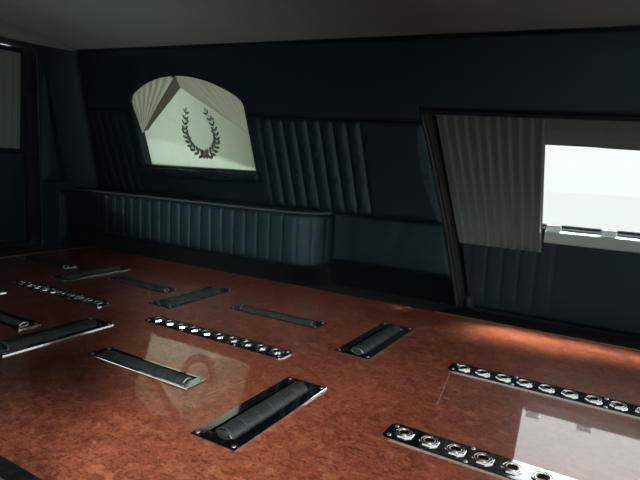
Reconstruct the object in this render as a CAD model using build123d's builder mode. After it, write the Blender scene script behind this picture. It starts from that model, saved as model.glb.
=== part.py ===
from build123d import *
from math import radians, tan
import os

os.makedirs("parts", exist_ok=True)

# Casket compartment of a hearse: the whole casket deck, the left side wall with its
# opera window and hinged side door, the left half of the roof and the rear end.
# Millimetres. +X to the front of the vehicle, +Y to its left side, +Z up.
# The origin is the middle of the deck's top face.

# Deck
deck_length = 2950.0
deck_width = 1390.0
deck_thickness = 25.0
deck_corner = 12.0
deck_front = deck_length / 2
deck_rear = -deck_length / 2
deck_edge = deck_width / 2

# Frame under the deck
member_width = 50.0
member_depth = 80.0
rail_y = 560.0
ground_z = -200.0
foot_size = 140.0
foot_thickness = 10.0
foot_bolt = 14.0
foot_bolt_pitch = 100.0
leg_size = 60.0
member_top = -deck_thickness
member_bottom = member_top - member_depth

# Side wall, as a section across the vehicle
wall_y = 840.0
belt_z = 305.0
wall_lean = 10.0
trim_thickness = 20.0
skin_y = 948.0
skin_belt_z = 330.0
skin_lean = 12.5
tuck_z = -120.0
tuck_in = 23.0
panel_bottom = -190.0
wall_rear = deck_rear - 175.0

# Lines of the body, which climb to the rear over the level deck
body_rise = 0.0367
trim_top_at_middle = 694.0
header_top_at_middle = 993.0
door_top_at_middle = 733.0

# Roof, the left half
roof_crown = 75.0
headliner_thickness = 12.0
roof_thickness = 58.0
rail_round_rise = 95.0
rail_round_in = 30.0
rail_bulge_in = 32.0
rail_bulge_up = 68.0
roof_quarter_rise = 38.0

# Wheelhouse box, kick panel and wheel arch
box_bottom = 75.0
box_top = 300.0
box_round = wall_y - deck_edge
box_front = -37.0
rail_height = 12.0
rail_overhang = 4.0
kick_thickness = 12.0
skirting_top = 102.0
margin_z = -2.0
arch_x = -600.0
arch_z = -300.0
arch_radius = 362.0
liner_thickness = 10.0

# Side door
door_front = deck_front - 5.0
door_rear = door_front - 922.0
door_rake = 0.24
door_trim_y = 805.0
door_shell_y = 825.0
door_trim_bottom = 12.0
door_rear_gap = 14.0
door_top_gap = 8.0
door_front_gap = 8.0
door_edge_margin = 10.0
# The door closes over a step: its skin overlaps the jamb, its inner box stays clear
door_flange = 30.0
door_box_back = 42.0
jamb_step = 20.0
jamb_step_gap = 5.0
trim_edge_back = 28.0
seal_thickness = 12.0
seal_lip = 4.0
post_front = deck_front + 85.0
glass_thickness = 5.0
window_bottom = 326.0
window_frame = 62.0
window_top_drop = 50.0
window_corner_z = 650.0
window_front = door_front - 65.0
window_glass_set_back = 48.0
drape_front = door_rear + 267.0
drape_bottom = 250.0
drape_thickness = 16.0
drape_low_y = 780.0
valance_drop = 95.0
valance_thickness = 12.0
valance_low_y = 752.0
drape_top_gap = 8.0
soft_gap = 0.8
seat_gap = 0.3
ledge_gap = 4.0
ledge_nose = 21.0
ledge_depth = 15.0
ledge_bevel = 4.0

# Opera window in the side wall
opera_middle = -808.0
opera_bottom = 458.0
opera_half_width = 374.0
opera_side_height = 333.0
opera_arch_rise = 108.0
opera_rake = 0.14
opera_corner = 26.0
cloth_set_back = 45.0
cloth_thickness = 4.0
cloth_fit = 0.3
opera_glass_set_back = 72.0
sill_pad_height = 44.0
sill_pad_depth = 32.0
sill_pad_overhang = 32.0
sill_pad_drop = 2.0
sill_pad_round = 10.0
sill_pad_bulge = 6.0

# Rear end
rear_face = wall_rear - 145.0
sill_rear = deck_rear - 218.0
gate_half_width = 500.0
gate_gap = 15.0
gate_bottom = -10.0
gate_top = 1025.0
gate_corner = 50.0
gate_inner = rear_face + 75.0
gate_trim_thickness = 15.0
gate_trim_half = 480.0
gate_trim_bottom = 20.0
gate_trim_top = 500.0
gate_trim_corner = 20.0
gate_window_half = 400.0
gate_window_bottom = 545.0
gate_window_top = 950.0
gate_window_corner = 40.0
gate_glass_set_back = 30.0
gate_drape_half = 450.0
gate_drape_bottom = 515.0
gate_drape_top = 1000.0
gate_drape_thickness = 14.0
gate_drape_corner = 10.0
rear_trim_thickness = 10.0
rear_trim_half = 690.0
rear_trim_top = 1046.0

# Bier-pin plates
plate_length = 532.0
plate_width = 65.0
plate_thickness = 4.0
pin_count = 10
pin_pitch = 50.8
pin_hole = 19.0
pin_ring_across = 37.0
pin_ring_height = 3.0
pin_clearance = 3.0

# Rollers: the trays drop through the deck board and the rollers turn on fixed axles
cross_tray = (108.0, 330.0)
cross_roller = (50.0, 264.0)
cross_proud = 12.0
long_tray = (67.0, 354.0)
long_roller = (42.0, 290.0)
long_proud = 9.0
sleeve_count = 6
sleeve_seam = 1.2
sleeve_depth = 1.5
end_chamfer = 1.0
roller_run = 5.5
tray_plate = 4.0
plate_bevel = 1.2
pan_wall = 2.0
pan_clearance = 1.0
axle_diameter = 12.0
axle_play = 0.05

# Hinges
pin_diameter = 10.0
barrel_diameter = 22.0
hinge_offset = 14.0
knuckle_half = 15.0
knuckle_gap = 0.5
strap_length = 92.0
strap_height = 44.0
strap_thickness = 5.0
strap_web_gap = 2.0
knuckle_extra = 8.0
bracket_pad_offset = 5.0

# Handles: two studs and a bar
handle_stud = 18.0
handle_reach = 24.0
handle_bar = 24.0
handle_thickness = 12.0
door_handle_length = 176.0
door_handle_studs = 140.0
door_handle_z = 262.0
gate_handle_length = 140.0
gate_handle_studs = 100.0
gate_handle_z = 380.0
gate_handle_y = -400.0


def rise(x):
    """How far the body's lines have climbed at x."""
    return -body_rise * x


def header_top(x):
    return header_top_at_middle + rise(x)


def trim_top(x):
    return trim_top_at_middle + rise(x)


def door_top(x):
    return door_top_at_middle + rise(x)


def lean_in(z, start, angle):
    """How far a face that leans in above a height has come inboard at z."""
    return max(0.0, z - start) * tan(radians(angle))


def wall_face(z):
    return wall_y - lean_in(z, belt_z, wall_lean)


def door_face(z):
    return door_shell_y - lean_in(z, belt_z, wall_lean)


def skin_face(z):
    return skin_y - lean_in(z, skin_belt_z, skin_lean)


def door_edge(z, back=0.0):
    """X of the door's raked rear edge, or of a line parallel to it."""
    return door_rear - door_rake * max(z, 0.0) - back


def slab_section(x, y_in, y_out, low, high):
    """Section of a wall piece between two distances from the wall's face."""
    lean = lean_in(high, belt_z, wall_lean)
    with BuildSketch(Plane.YZ.offset(x)) as section:
        with BuildLine():
            Polyline(
                (y_in, low),
                (y_in, belt_z),
                (y_in - lean, high),
                (y_out - lean, high),
                (y_out, belt_z),
                (y_out, low),
                close=True,
            )
        make_face()
    return section.sketch


def flat_section(x, y_in, y_out, low, high):
    with BuildSketch(Plane.YZ.offset(x)) as section:
        with Locations(((y_in + y_out) / 2, (low + high) / 2)):
            Rectangle(y_out - y_in, high - low)
    return section.sketch


def skin_section(x, inner, low, high):
    """Section of the body side from its inner face to the painted skin."""
    with BuildSketch(Plane.YZ.offset(x)) as section:
        with BuildLine():
            Polyline(
                (skin_y - tuck_in, low),
                (inner, low),
                (inner, belt_z),
                (inner - lean_in(high, belt_z, wall_lean), high),
                (skin_face(high), high),
                (skin_y, skin_belt_z),
                (skin_y, tuck_z),
            )
            TangentArc((skin_y, tuck_z), (skin_y - tuck_in, low), tangent=(0, -1))
        make_face()
    return section.sketch


def inner_section(x, inner, cover, low, high):
    """Section of the body side's inner layer, up to a cover of skin."""
    with BuildSketch(Plane.YZ.offset(x)) as section:
        with BuildLine():
            Polyline(
                (inner, low),
                (inner, belt_z),
                (inner - lean_in(high, belt_z, wall_lean), high),
                (skin_face(high) - cover, high),
                (skin_y - cover, skin_belt_z),
                (skin_y - cover, low),
                close=True,
            )
        make_face()
    return section.sketch


def side_outline(points):
    """Outline seen from the side, as a sketch in the XZ plane."""
    with BuildSketch(Plane.XZ) as outline:
        with BuildLine():
            Polyline(*points, close=True)
        make_face()
    return outline.sketch


def opera_point(across, up):
    """A point of the raked opera window, from its middle and its bottom edge."""
    return (
        opera_middle + across - opera_rake * up,
        opera_bottom + up + body_rise * -across * up / opera_side_height,
    )


def opera_outline(inset=0.0):
    """The opera window's arch, smaller all round by the inset."""
    half = opera_half_width - inset
    side = opera_side_height - inset
    crown = opera_side_height + opera_arch_rise - inset
    with BuildSketch(Plane.XZ) as outline:
        with BuildLine():
            Polyline(
                opera_point(-half, side),
                opera_point(-half, inset),
                opera_point(half, inset),
                opera_point(half, side),
            )
            ThreePointArc(opera_point(half, side), opera_point(0, crown), opera_point(-half, side))
        make_face()
        shoulders = outline.vertices().sort_by(Axis.Y)[-2:]
        fillet(shoulders, opera_corner)
    return outline.sketch


def edge_meets(height_at_middle, back):
    """Where a line parallel to the door's raked edge meets a line that climbs."""
    x = (door_rear - back - door_rake * height_at_middle) / (1 - door_rake * body_rise)
    return x, height_at_middle + rise(x)


# What is cut right through the wall reaches this far to both sides of it
through = 2000.0
wall_top = header_top(wall_rear) + 10
wall_back = wall_y + trim_thickness
opening_top = door_top_at_middle + door_top_gap
post_rear = door_front + door_front_gap


def quarter_shape(back):
    """Outline of the side panel, with the door's opening cut to a line off its edge."""
    return (
        (wall_rear, panel_bottom),
        (door_edge(0, back), panel_bottom),
        (door_edge(0, back), 0),
        edge_meets(opening_top, back),
        (post_rear, opening_top + rise(post_rear)),
        (post_rear, header_top(post_rear)),
        (wall_rear, header_top(wall_rear)),
    )


# Deck board: pockets for the roller trays and holes for the bier pins
cross_units = [
    # place, x, side
    ("front_left", 453.0, 1),
    ("front_right", 453.0, -1),
    ("middle_left", -302.0, 1),
    ("middle_right", -302.0, -1),
    ("rear_left", -894.0, 1),
    ("rear_right", -894.0, -1),
]
long_units = [
    # place, x, side
    ("front_left", 81.0, 1),
    ("front_right", 81.0, -1),
    ("middle_left", -586.0, 1),
    ("middle_right", -586.0, -1),
    ("rear_left", -1225.0, 1),
    ("rear_right", -1225.0, -1),
]
unit_y = 278.0
bier_plates = [
    # x, y
    (965.0, 205.0),
    (965.0, -205.0),
    (52.0, 0.0),
    (-704.0, 0.0),
]


def pan_size(roller):
    """Inside width and length of the pan below a roller."""
    diameter, length = roller
    return diameter + 2 * roller_run, length + 2 * roller_run


def unit_spots(units):
    return [(x, side * unit_y) for place, x, side in units]


with BuildPart() as deck_board:
    with BuildSketch(Plane.XY.offset(-deck_thickness)):
        RectangleRounded(deck_length, deck_width, deck_corner)
        for units, roller, turn in ((cross_units, cross_roller, 90), (long_units, long_roller, 0)):
            width, length = pan_size(roller)
            around = 2 * (pan_wall + pan_clearance)
            with Locations(*unit_spots(units)):
                Rectangle(length + around, width + around, rotation=turn, mode=Mode.SUBTRACT)
        for x, y in bier_plates:
            with Locations((x, y)), GridLocations(pin_pitch, 0, pin_count, 1):
                Circle(pin_hole / 2 + pin_clearance, mode=Mode.SUBTRACT)
    extrude(amount=deck_thickness)

# Deck frame: two rails, cross members welded between and outside them, and legs with bolt-down feet
cross_members = [
    # x, left end
    (deck_rear + 35.0, wall_y + trim_thickness),
    (-1000.0, wall_y + trim_thickness),
    (-205.0, wall_y + trim_thickness),
    (325.0, wall_y + trim_thickness),
    (660.0, 740.0),
    (1270.0, 740.0),
    (deck_front - 35.0, 740.0),
]
legs = [
    # x, y
    (deck_rear + 35.0, -rail_y),
    (deck_rear + 35.0, 780.0),
    (-205.0, -rail_y),
    (-205.0, 780.0),
    (660.0, -rail_y),
    (660.0, rail_y),
    (deck_front - 35.0, -rail_y),
    (deck_front - 35.0, rail_y),
]
member_right = -deck_edge + 20
rail_inner = rail_y - member_width / 2
rail_outer = rail_y + member_width / 2
with BuildPart() as frame_rails:
    with BuildSketch(Plane.XY.offset(member_bottom)):
        with Locations((0, rail_y), (0, -rail_y)):
            Rectangle(deck_length - 10, member_width)
    extrude(amount=member_depth)

with BuildPart() as frame_cross_members:
    with BuildSketch(Plane.XY.offset(member_bottom)):
        for x, left_end in cross_members:
            for low, high in ((member_right, -rail_outer), (-rail_inner, rail_inner), (rail_outer, left_end)):
                with Locations((x, (low + high) / 2)):
                    Rectangle(member_width, high - low)
    extrude(amount=member_depth)

with BuildPart() as frame_legs:
    with BuildSketch(Plane.XY.offset(ground_z)):
        with Locations(*legs):
            Rectangle(leg_size, leg_size)
    extrude(amount=member_bottom - ground_z)
    with BuildSketch(Plane.XY.offset(ground_z)):
        with Locations(*legs):
            Rectangle(foot_size, foot_size)
            with GridLocations(foot_bolt_pitch, foot_bolt_pitch, 2, 2):
                Circle(foot_bolt / 2, mode=Mode.SUBTRACT)
    extrude(amount=foot_thickness)

# Rubber-faced strip along the deck's right edge
strip_width = 16.0
strip_lip = 3.0
strip_overlap = 12.0
strip_bevel_width = 6.0
strip_bevel_z = -4.0
with BuildPart() as deck_edge_strip:
    with BuildSketch(Plane.YZ.offset(deck_rear)):
        with BuildLine():
            Polyline(
                (-deck_edge, -deck_thickness),
                (-deck_edge, 0),
                (-deck_edge + strip_overlap, 0),
                (-deck_edge + strip_overlap, strip_lip),
                (-deck_edge - strip_width + strip_bevel_width, strip_lip),
                (-deck_edge - strip_width, strip_bevel_z),
                (-deck_edge - strip_width, -deck_thickness),
                close=True,
            )
        make_face()
    extrude(amount=deck_length)

# Ribbed door sill over the left rocker
sill_outer = 797.0
rocker_inner = 740.0
rib_count = 6
rib_pitch = 15.0
rib_height = 2.0
sill_top = 2.0
sill_start = door_edge(0, trim_edge_back)
with BuildPart() as door_sill:
    with BuildSketch(Plane.YZ.offset(sill_start)):
        with Locations(((deck_edge + sill_outer) / 2, (sill_top - deck_thickness) / 2)):
            Rectangle(sill_outer - deck_edge, deck_thickness + sill_top)
        with Locations(((rocker_inner + sill_outer) / 2, (panel_bottom - deck_thickness) / 2)):
            Rectangle(sill_outer - rocker_inner, -deck_thickness - panel_bottom)
        with Locations(((deck_edge + sill_outer) / 2, sill_top + rib_height / 2)):
            with GridLocations(rib_pitch, 0, rib_count, 1):
                Rectangle(rib_pitch / 2, rib_height)
    extrude(amount=door_front - sill_start)

# Rear sill: metal runners on both sides of a lacquered inlay
sill_runner = 62.0
inlay_front = deck_rear - sill_runner
inlay_rear = sill_rear + sill_runner
inlay_thickness = 4.0
sill_half = 690.0
with BuildPart() as rear_sill:
    with BuildSketch(Plane.XZ.offset(-sill_half)):
        with BuildLine():
            Polyline(
                (deck_rear, -deck_thickness),
                (deck_rear, sill_top),
                (inlay_front, sill_top),
                (inlay_front, sill_top - inlay_thickness),
                (inlay_rear, sill_top - inlay_thickness),
                (inlay_rear, sill_top),
                (sill_rear, sill_top),
                (sill_rear, -deck_thickness),
                close=True,
            )
        make_face()
    extrude(amount=2 * sill_half)
with BuildPart() as rear_sill_inlay:
    with BuildSketch(Plane.XY.offset(sill_top - inlay_thickness)):
        with Locations(((inlay_front + inlay_rear) / 2, 0)):
            Rectangle(inlay_front - inlay_rear, 2 * sill_half)
    extrude(amount=inlay_thickness)

# Bier-pin plates: ten holes at even pitch, each with a raised eight-sided ring
with BuildPart() as bier_pin_plates:
    with BuildSketch(Plane.XY):
        with Locations(*bier_plates):
            RectangleRounded(plate_length, plate_width, plate_width / 4)
    extrude(amount=plate_thickness - plate_bevel)
    with BuildSketch(Plane.XY.offset(plate_thickness - plate_bevel)):
        with Locations(*bier_plates):
            RectangleRounded(plate_length, plate_width, plate_width / 4)
    extrude(amount=plate_bevel, taper=45)
    with BuildSketch(Plane.XY.offset(plate_thickness)):
        for x, y in bier_plates:
            with Locations((x, y)), GridLocations(pin_pitch, 0, pin_count, 1):
                RegularPolygon(pin_ring_across / 2, 8, major_radius=False, rotation=22.5)
    extrude(amount=pin_ring_height, taper=12)
    for x, y in bier_plates:
        with Locations((x, y, plate_thickness + pin_ring_height)), GridLocations(pin_pitch, 0, pin_count, 1):
            Hole(pin_hole / 2)


def roller_height(roller, proud):
    """Height of the axle, so that the roller stands proud of its tray."""
    return tray_plate + proud - roller[0] / 2


def make_tray(units, tray, roller, proud, turn):
    """Trays of one kind: a plate with a slot, and a pan whose ends carry the axle."""
    width, length = pan_size(roller)
    centre = roller_height(roller, proud)
    pan_bottom = centre - roller[0] / 2 - roller_run - pan_wall
    with BuildPart() as trays:
        with BuildSketch(Plane.XY):
            with Locations(*unit_spots(units)):
                Rectangle(tray[1], tray[0], rotation=turn)
        extrude(amount=tray_plate - plate_bevel)
        with BuildSketch(Plane.XY.offset(tray_plate - plate_bevel)):
            with Locations(*unit_spots(units)):
                Rectangle(tray[1], tray[0], rotation=turn)
        extrude(amount=plate_bevel, taper=45)
        with BuildSketch(Plane.XY.offset(pan_bottom)):
            with Locations(*unit_spots(units)):
                Rectangle(length + 2 * pan_wall, width + 2 * pan_wall, rotation=turn)
        extrude(amount=-pan_bottom)
        with BuildSketch(Plane.XY.offset(pan_bottom + pan_wall)):
            with Locations(*unit_spots(units)):
                Rectangle(length, width, rotation=turn)
        extrude(amount=tray_plate - pan_bottom, mode=Mode.SUBTRACT)
        axle_plane = Plane.YZ if turn == 0 else Plane.XZ
        for place, x, side in units:
            across = side * unit_y if turn == 0 else x
            with BuildSketch(axle_plane):
                with Locations((across, centre)):
                    Circle(axle_diameter / 2)
            extrude(amount=through, both=True, mode=Mode.SUBTRACT)
    return trays.part


def make_roller(x, y, roller, proud, turn):
    """One roller along X, or along Y when turned: sleeves on a tube with fine seams."""
    diameter, length = roller
    radius = diameter / 2
    sleeve = length / sleeve_count
    centre = (x, y, roller_height(roller, proud))
    along = (1, 0, 0) if turn == 0 else (0, 1, 0)
    with BuildPart(Plane(origin=centre, x_dir=(0, 0, 1), z_dir=along)) as body:
        Cylinder(radius, length)
        for seam in range(1, sleeve_count):
            with Locations((0, 0, -length / 2 + seam * sleeve)):
                Cylinder(radius + 1, sleeve_seam, mode=Mode.SUBTRACT)
        Cylinder(radius - sleeve_depth, length)
        Cylinder(axle_diameter / 2 + axle_play, length, mode=Mode.SUBTRACT)
        rims = body.edges().filter_by(GeomType.CIRCLE).group_by(SortBy.LENGTH)[-1]
        chamfer(rims.sort_by(Axis((0, 0, 0), along))[0:1], end_chamfer)
    return body.part


def make_axles():
    with BuildPart() as axles:
        for units, roller, proud, along in (
            (cross_units, cross_roller, cross_proud, (0, 1, 0)),
            (long_units, long_roller, long_proud, (1, 0, 0)),
        ):
            length = pan_size(roller)[1] + 2 * pan_wall
            for place, x, side in units:
                centre = (x, side * unit_y, roller_height(roller, proud))
                with BuildSketch(Plane(origin=centre, x_dir=(0, 0, 1), z_dir=along)):
                    Circle(axle_diameter / 2)
                extrude(amount=length / 2, both=True)
    return axles.part


crosswise_roller_trays = make_tray(cross_units, cross_tray, cross_roller, cross_proud, 90)
lengthwise_roller_trays = make_tray(long_units, long_tray, long_roller, long_proud, 0)
roller_axles = make_axles()


def box_plan(inset, back):
    """The wheelhouse box from above: a long straight face and a rounded front end."""
    face = deck_edge + inset
    radius = box_round - inset
    middle = box_front - box_round
    with BuildSketch() as plan:
        with BuildLine():
            Polyline(
                (middle + radius, wall_y),
                (middle + radius, back),
                (wall_rear, back),
                (wall_rear, face),
                (middle, face),
            )
            TangentArc((middle, face), (middle + radius, wall_y), tangent=(1, 0))
        make_face()
    return plan.sketch


with BuildPart() as wheelhouse_box:
    with BuildSketch(Plane.XY.offset(box_bottom)):
        add(box_plan(0, wall_back))
    extrude(amount=box_top - box_bottom)

with BuildPart() as wheelhouse_rail:
    with BuildSketch(Plane.XY.offset(box_top)):
        add(box_plan(-rail_overhang, wall_back))
        add(box_plan(rail_height, wall_back), mode=Mode.SUBTRACT)
        with Locations(((wall_rear + box_front) / 2, wall_face(box_top + rail_height) + trim_thickness)):
            Rectangle(through, 2 * trim_thickness, mode=Mode.SUBTRACT)
    extrude(amount=rail_height)

with BuildPart() as kick_panel:
    with BuildSketch(Plane.XY.offset(member_top)):
        add(box_plan(0, wall_back))
        add(box_plan(kick_thickness, wall_back), mode=Mode.SUBTRACT)
    extrude(amount=box_bottom - member_top)
    with BuildSketch(Plane.XY.offset(member_top)):
        with Locations(((box_front - box_round + sill_start) / 2, (deck_edge + wall_back) / 2)):
            Rectangle(sill_start - box_front + box_round, wall_back - deck_edge)
        add(box_plan(0, wall_back), mode=Mode.SUBTRACT)
    extrude(amount=margin_z - member_top)
    # The skirting above the floor's margin ends on the door's raked line
    with BuildSketch(Plane.XZ.offset(-wall_back)):
        with BuildLine():
            Polyline(
                (box_front, margin_z),
                (sill_start, margin_z),
                (sill_start, 0),
                (door_edge(skirting_top, trim_edge_back), skirting_top),
                (box_front, skirting_top),
                close=True,
            )
        make_face()
    extrude(amount=trim_thickness)

with BuildPart() as wheelhouse_liner:
    liner_in = deck_edge + kick_thickness + 2
    with BuildSketch(Plane.XZ.offset(-liner_in)):
        with Locations((arch_x, arch_z)):
            Circle(arch_radius + liner_thickness)
    extrude(amount=-(wall_back - liner_in))
    with BuildSketch(Plane.XZ.offset(-liner_in - liner_thickness)):
        with Locations((arch_x, arch_z)):
            Circle(arch_radius)
    extrude(amount=-(wall_back - liner_in), mode=Mode.SUBTRACT)
    split(bisect_by=Plane.XY.offset(panel_bottom), keep=Keep.TOP)

# Inner trim of the wall
with BuildPart() as lower_quarter_trim:
    extrude(flat_section(box_front, wall_y, wall_back, skirting_top, belt_z), amount=sill_start - box_front)
    extrude(
        side_outline(
            [(box_front, skirting_top), (door_edge(skirting_top, trim_edge_back), skirting_top),
             (door_edge(belt_z, trim_edge_back), belt_z), (box_front, belt_z)]
        ),
        amount=through, both=True, mode=Mode.INTERSECT,
    )

with BuildPart() as upper_quarter_trim:
    extrude(slab_section(wall_rear, wall_y, wall_back, box_top, wall_top), amount=through)
    extrude(
        side_outline(
            [(wall_rear, box_top), (box_front, box_top), (box_front, belt_z),
             (door_edge(belt_z, trim_edge_back), belt_z),
             edge_meets(trim_top_at_middle, trim_edge_back), (wall_rear, trim_top(wall_rear))]
        ),
        amount=through, both=True, mode=Mode.INTERSECT,
    )
    extrude(opera_outline(), amount=through, both=True, mode=Mode.SUBTRACT)

with BuildPart() as header_band:
    extrude(slab_section(wall_rear, wall_y, wall_back, box_top, wall_top), amount=post_front - wall_rear)
    extrude(
        side_outline(
            [(wall_rear, trim_top(wall_rear)), edge_meets(trim_top_at_middle, trim_edge_back),
             edge_meets(opening_top, trim_edge_back), (post_front, opening_top + rise(post_front)),
             (post_front, header_top(post_front)), (wall_rear, header_top(wall_rear))]
        ),
        amount=through, both=True, mode=Mode.INTERSECT,
    )
    extrude(opera_outline(), amount=through, both=True, mode=Mode.SUBTRACT)

# The step that the door's flange closes over
with BuildPart() as jamb:
    step_cover = door_flange + jamb_step_gap
    extrude(inner_section(0, wall_back, step_cover, panel_bottom, wall_top), amount=post_rear)
    extrude(side_outline(quarter_shape(-jamb_step)), amount=through, both=True, mode=Mode.INTERSECT)

with BuildPart() as quarter_panel:
    extrude(skin_section(wall_rear, wall_back, panel_bottom, wall_top), amount=post_rear - wall_rear)
    extrude(side_outline(quarter_shape(door_rear_gap)), amount=through, both=True, mode=Mode.INTERSECT)
    add(jamb.part)
    extrude(opera_outline(), amount=through, both=True, mode=Mode.SUBTRACT)
    with BuildSketch(Plane.XZ):
        with Locations((arch_x, arch_z)):
            Circle(arch_radius)
    extrude(amount=through, both=True, mode=Mode.SUBTRACT)

with BuildPart() as front_post:
    extrude(skin_section(post_rear, wall_back, panel_bottom, wall_top), amount=post_front - post_rear)
    extrude(
        side_outline(
            [(post_rear, panel_bottom), (post_front, panel_bottom),
             (post_front, header_top(post_front)),
             (post_rear, header_top(post_rear))]
        ),
        amount=through, both=True, mode=Mode.INTERSECT,
    )

with BuildPart() as front_post_trim:
    post_width = post_front - post_rear
    extrude(slab_section(post_rear, wall_y, wall_back, -deck_thickness, wall_top), amount=post_width)
    extrude(
        side_outline(
            [(post_rear, -deck_thickness), (post_front, -deck_thickness),
             (post_front, opening_top + rise(post_front)), (post_rear, opening_top + rise(post_rear))]
        ),
        amount=through, both=True, mode=Mode.INTERSECT,
    )


def roof_points(x):
    """Driving points of the roof's section at x."""
    edge_z = header_top(x)
    edge_y = wall_face(edge_z)
    return edge_y, edge_z


def headliner_section(x):
    edge_y, edge_z = roof_points(x)
    lift = headliner_thickness
    middle = (0, edge_z + roof_crown)
    with BuildSketch(Plane.YZ.offset(x)) as section:
        with BuildLine():
            ThreePointArc((edge_y, edge_z), (edge_y / 2, edge_z + 0.75 * roof_crown), middle)
            Line(middle, (0, edge_z + roof_crown + lift))
            ThreePointArc(
                (0, edge_z + roof_crown + lift),
                (edge_y / 2, edge_z + 0.75 * roof_crown + lift),
                (edge_y, edge_z + lift),
            )
            Line((edge_y, edge_z + lift), (edge_y, edge_z))
        make_face()
    return section.sketch


def roof_skin(edge_y, edge_z, top):
    """The painted roof line, from the body side up to the middle."""
    side = skin_face(edge_z)
    shoulder = (edge_y - rail_round_in, edge_z + rail_round_rise)
    quarter = (edge_y / 2, edge_z + rail_round_rise + roof_quarter_rise)
    ThreePointArc((side, edge_z), (side - rail_bulge_in, edge_z + rail_bulge_up), shoulder)
    ThreePointArc(shoulder, quarter, (0, top))


def roof_section(x):
    edge_y, edge_z = roof_points(x)
    lift = headliner_thickness
    top = edge_z + roof_crown + lift + roof_thickness
    with BuildSketch(Plane.YZ.offset(x)) as section:
        with BuildLine():
            ThreePointArc(
                (0, edge_z + roof_crown + lift),
                (edge_y / 2, edge_z + 0.75 * roof_crown + lift),
                (edge_y, edge_z + lift),
            )
            Polyline((edge_y, edge_z + lift), (edge_y, edge_z), (skin_face(edge_z), edge_z))
            roof_skin(edge_y, edge_z, top)
            Line((0, top), (0, edge_z + roof_crown + lift))
        make_face()
    return section.sketch


with BuildPart() as headliner:
    loft([headliner_section(wall_rear), headliner_section(post_front)], ruled=True)
with BuildPart() as roof_panel:
    loft([roof_section(wall_rear), roof_section(post_front)], ruled=True)

# Opera window: glass near the skin, a flat cloth behind the reveal, two swags drawn to its sides
with BuildPart() as opera_window_glass:
    glass_y = wall_y + opera_glass_set_back
    extrude(slab_section(wall_rear, glass_y, glass_y + glass_thickness, box_top, wall_top), amount=through)
    extrude(opera_outline(), amount=through, both=True, mode=Mode.INTERSECT)

with BuildPart() as opera_backing_cloth:
    cloth_y = wall_y + cloth_set_back
    extrude(slab_section(wall_rear, cloth_y, cloth_y + cloth_thickness, box_top, wall_top), amount=through)
    extrude(opera_outline(cloth_fit), amount=through, both=True, mode=Mode.INTERSECT)

swag_inner = 8.0
swag_thickness = 22.0
swag_fit = 0.3
# Lower edge of the swags, from the rear tip up to where they part and down to the front tip
swag_edge = [
    # across, up
    (-434.0, 106.0),
    (-40.0, 445.0),
    (22.0, 395.0),
    (434.0, 120.0),
]
with BuildPart() as opera_drapes:
    swag_y = wall_y + swag_inner
    extrude(slab_section(wall_rear, swag_y, swag_y + swag_thickness, box_top, wall_top), amount=through)
    extrude(opera_outline(swag_fit), amount=through, both=True, mode=Mode.INTERSECT)
    below = [(swag_edge[-1][0], -60.0), (swag_edge[0][0], -60.0)]
    extrude(
        side_outline([opera_point(across, up) for across, up in swag_edge + below]),
        amount=through, both=True, mode=Mode.SUBTRACT,
    )

with BuildPart() as window_sill_pad:
    pad_top = opera_bottom - sill_pad_drop
    pad_low = pad_top - sill_pad_height
    pad_face = wall_face(opera_bottom) - sill_pad_depth
    with BuildSketch(Plane.YZ.offset(opera_middle - opera_half_width - sill_pad_overhang)):
        with BuildLine():
            Polyline(
                (pad_face + sill_pad_round, pad_low),
                (wall_face(pad_low), pad_low),
                (wall_face(pad_top), pad_top),
                (pad_face + sill_pad_round, pad_top),
            )
            ThreePointArc(
                (pad_face + sill_pad_round, pad_top),
                (pad_face - sill_pad_bulge, pad_low + sill_pad_height / 2),
                (pad_face + sill_pad_round, pad_low),
            )
        make_face()
    extrude(amount=2 * (opera_half_width + sill_pad_overhang))


def body_outline():
    """Outline of the whole body across the vehicle at its rear end."""
    edge_y, edge_z = roof_points(wall_rear)
    top = edge_z + roof_crown + headliner_thickness + roof_thickness
    with BuildSketch() as outline:
        with BuildLine():
            Line((0, panel_bottom), (skin_y - tuck_in, panel_bottom))
            TangentArc((skin_y, tuck_z), (skin_y - tuck_in, panel_bottom), tangent=(0, -1))
            Polyline((skin_y, tuck_z), (skin_y, skin_belt_z), (skin_face(edge_z), edge_z))
            roof_skin(edge_y, edge_z, top)
            Line((0, top), (0, panel_bottom))
        make_face()
        mirror(about=Plane.YZ)
    return outline.sketch


def gate_opening():
    with BuildSketch() as opening:
        with Locations((0, (gate_bottom + gate_top) / 2)):
            height = gate_top - gate_bottom + 2 * gate_gap
            RectangleRounded(2 * (gate_half_width + gate_gap), height, gate_corner + gate_gap)
    return opening.sketch


with BuildPart() as rear_frame:
    with BuildSketch(Plane.YZ.offset(rear_face)):
        add(body_outline())
        add(gate_opening(), mode=Mode.SUBTRACT)
    extrude(amount=wall_rear - rear_face)
    # The rear sill lies in a step of the frame's lower beam
    with BuildSketch(Plane.XY.offset(member_top)):
        with Locations(((sill_rear + deck_rear) / 2, 0)):
            Rectangle(deck_rear - sill_rear, 2 * sill_half)
    extrude(amount=sill_top - member_top, mode=Mode.SUBTRACT)

with BuildPart() as rear_frame_trim:
    with BuildSketch(Plane.YZ.offset(wall_rear)):
        with Locations((0, (sill_top + rear_trim_top) / 2)):
            Rectangle(2 * rear_trim_half, rear_trim_top - sill_top)
        add(gate_opening(), mode=Mode.SUBTRACT)
    extrude(amount=rear_trim_thickness)

# Side door
def door_shape(back):
    return (
        (door_edge(0, back), panel_bottom),
        (door_edge(0, back), 0),
        edge_meets(door_top_at_middle, back),
        (door_front, door_top(door_front)),
        (door_front, panel_bottom),
    )


def window_x(z):
    return door_edge(z) + window_frame


def window_top(x):
    return door_top(x) - window_top_drop


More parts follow.
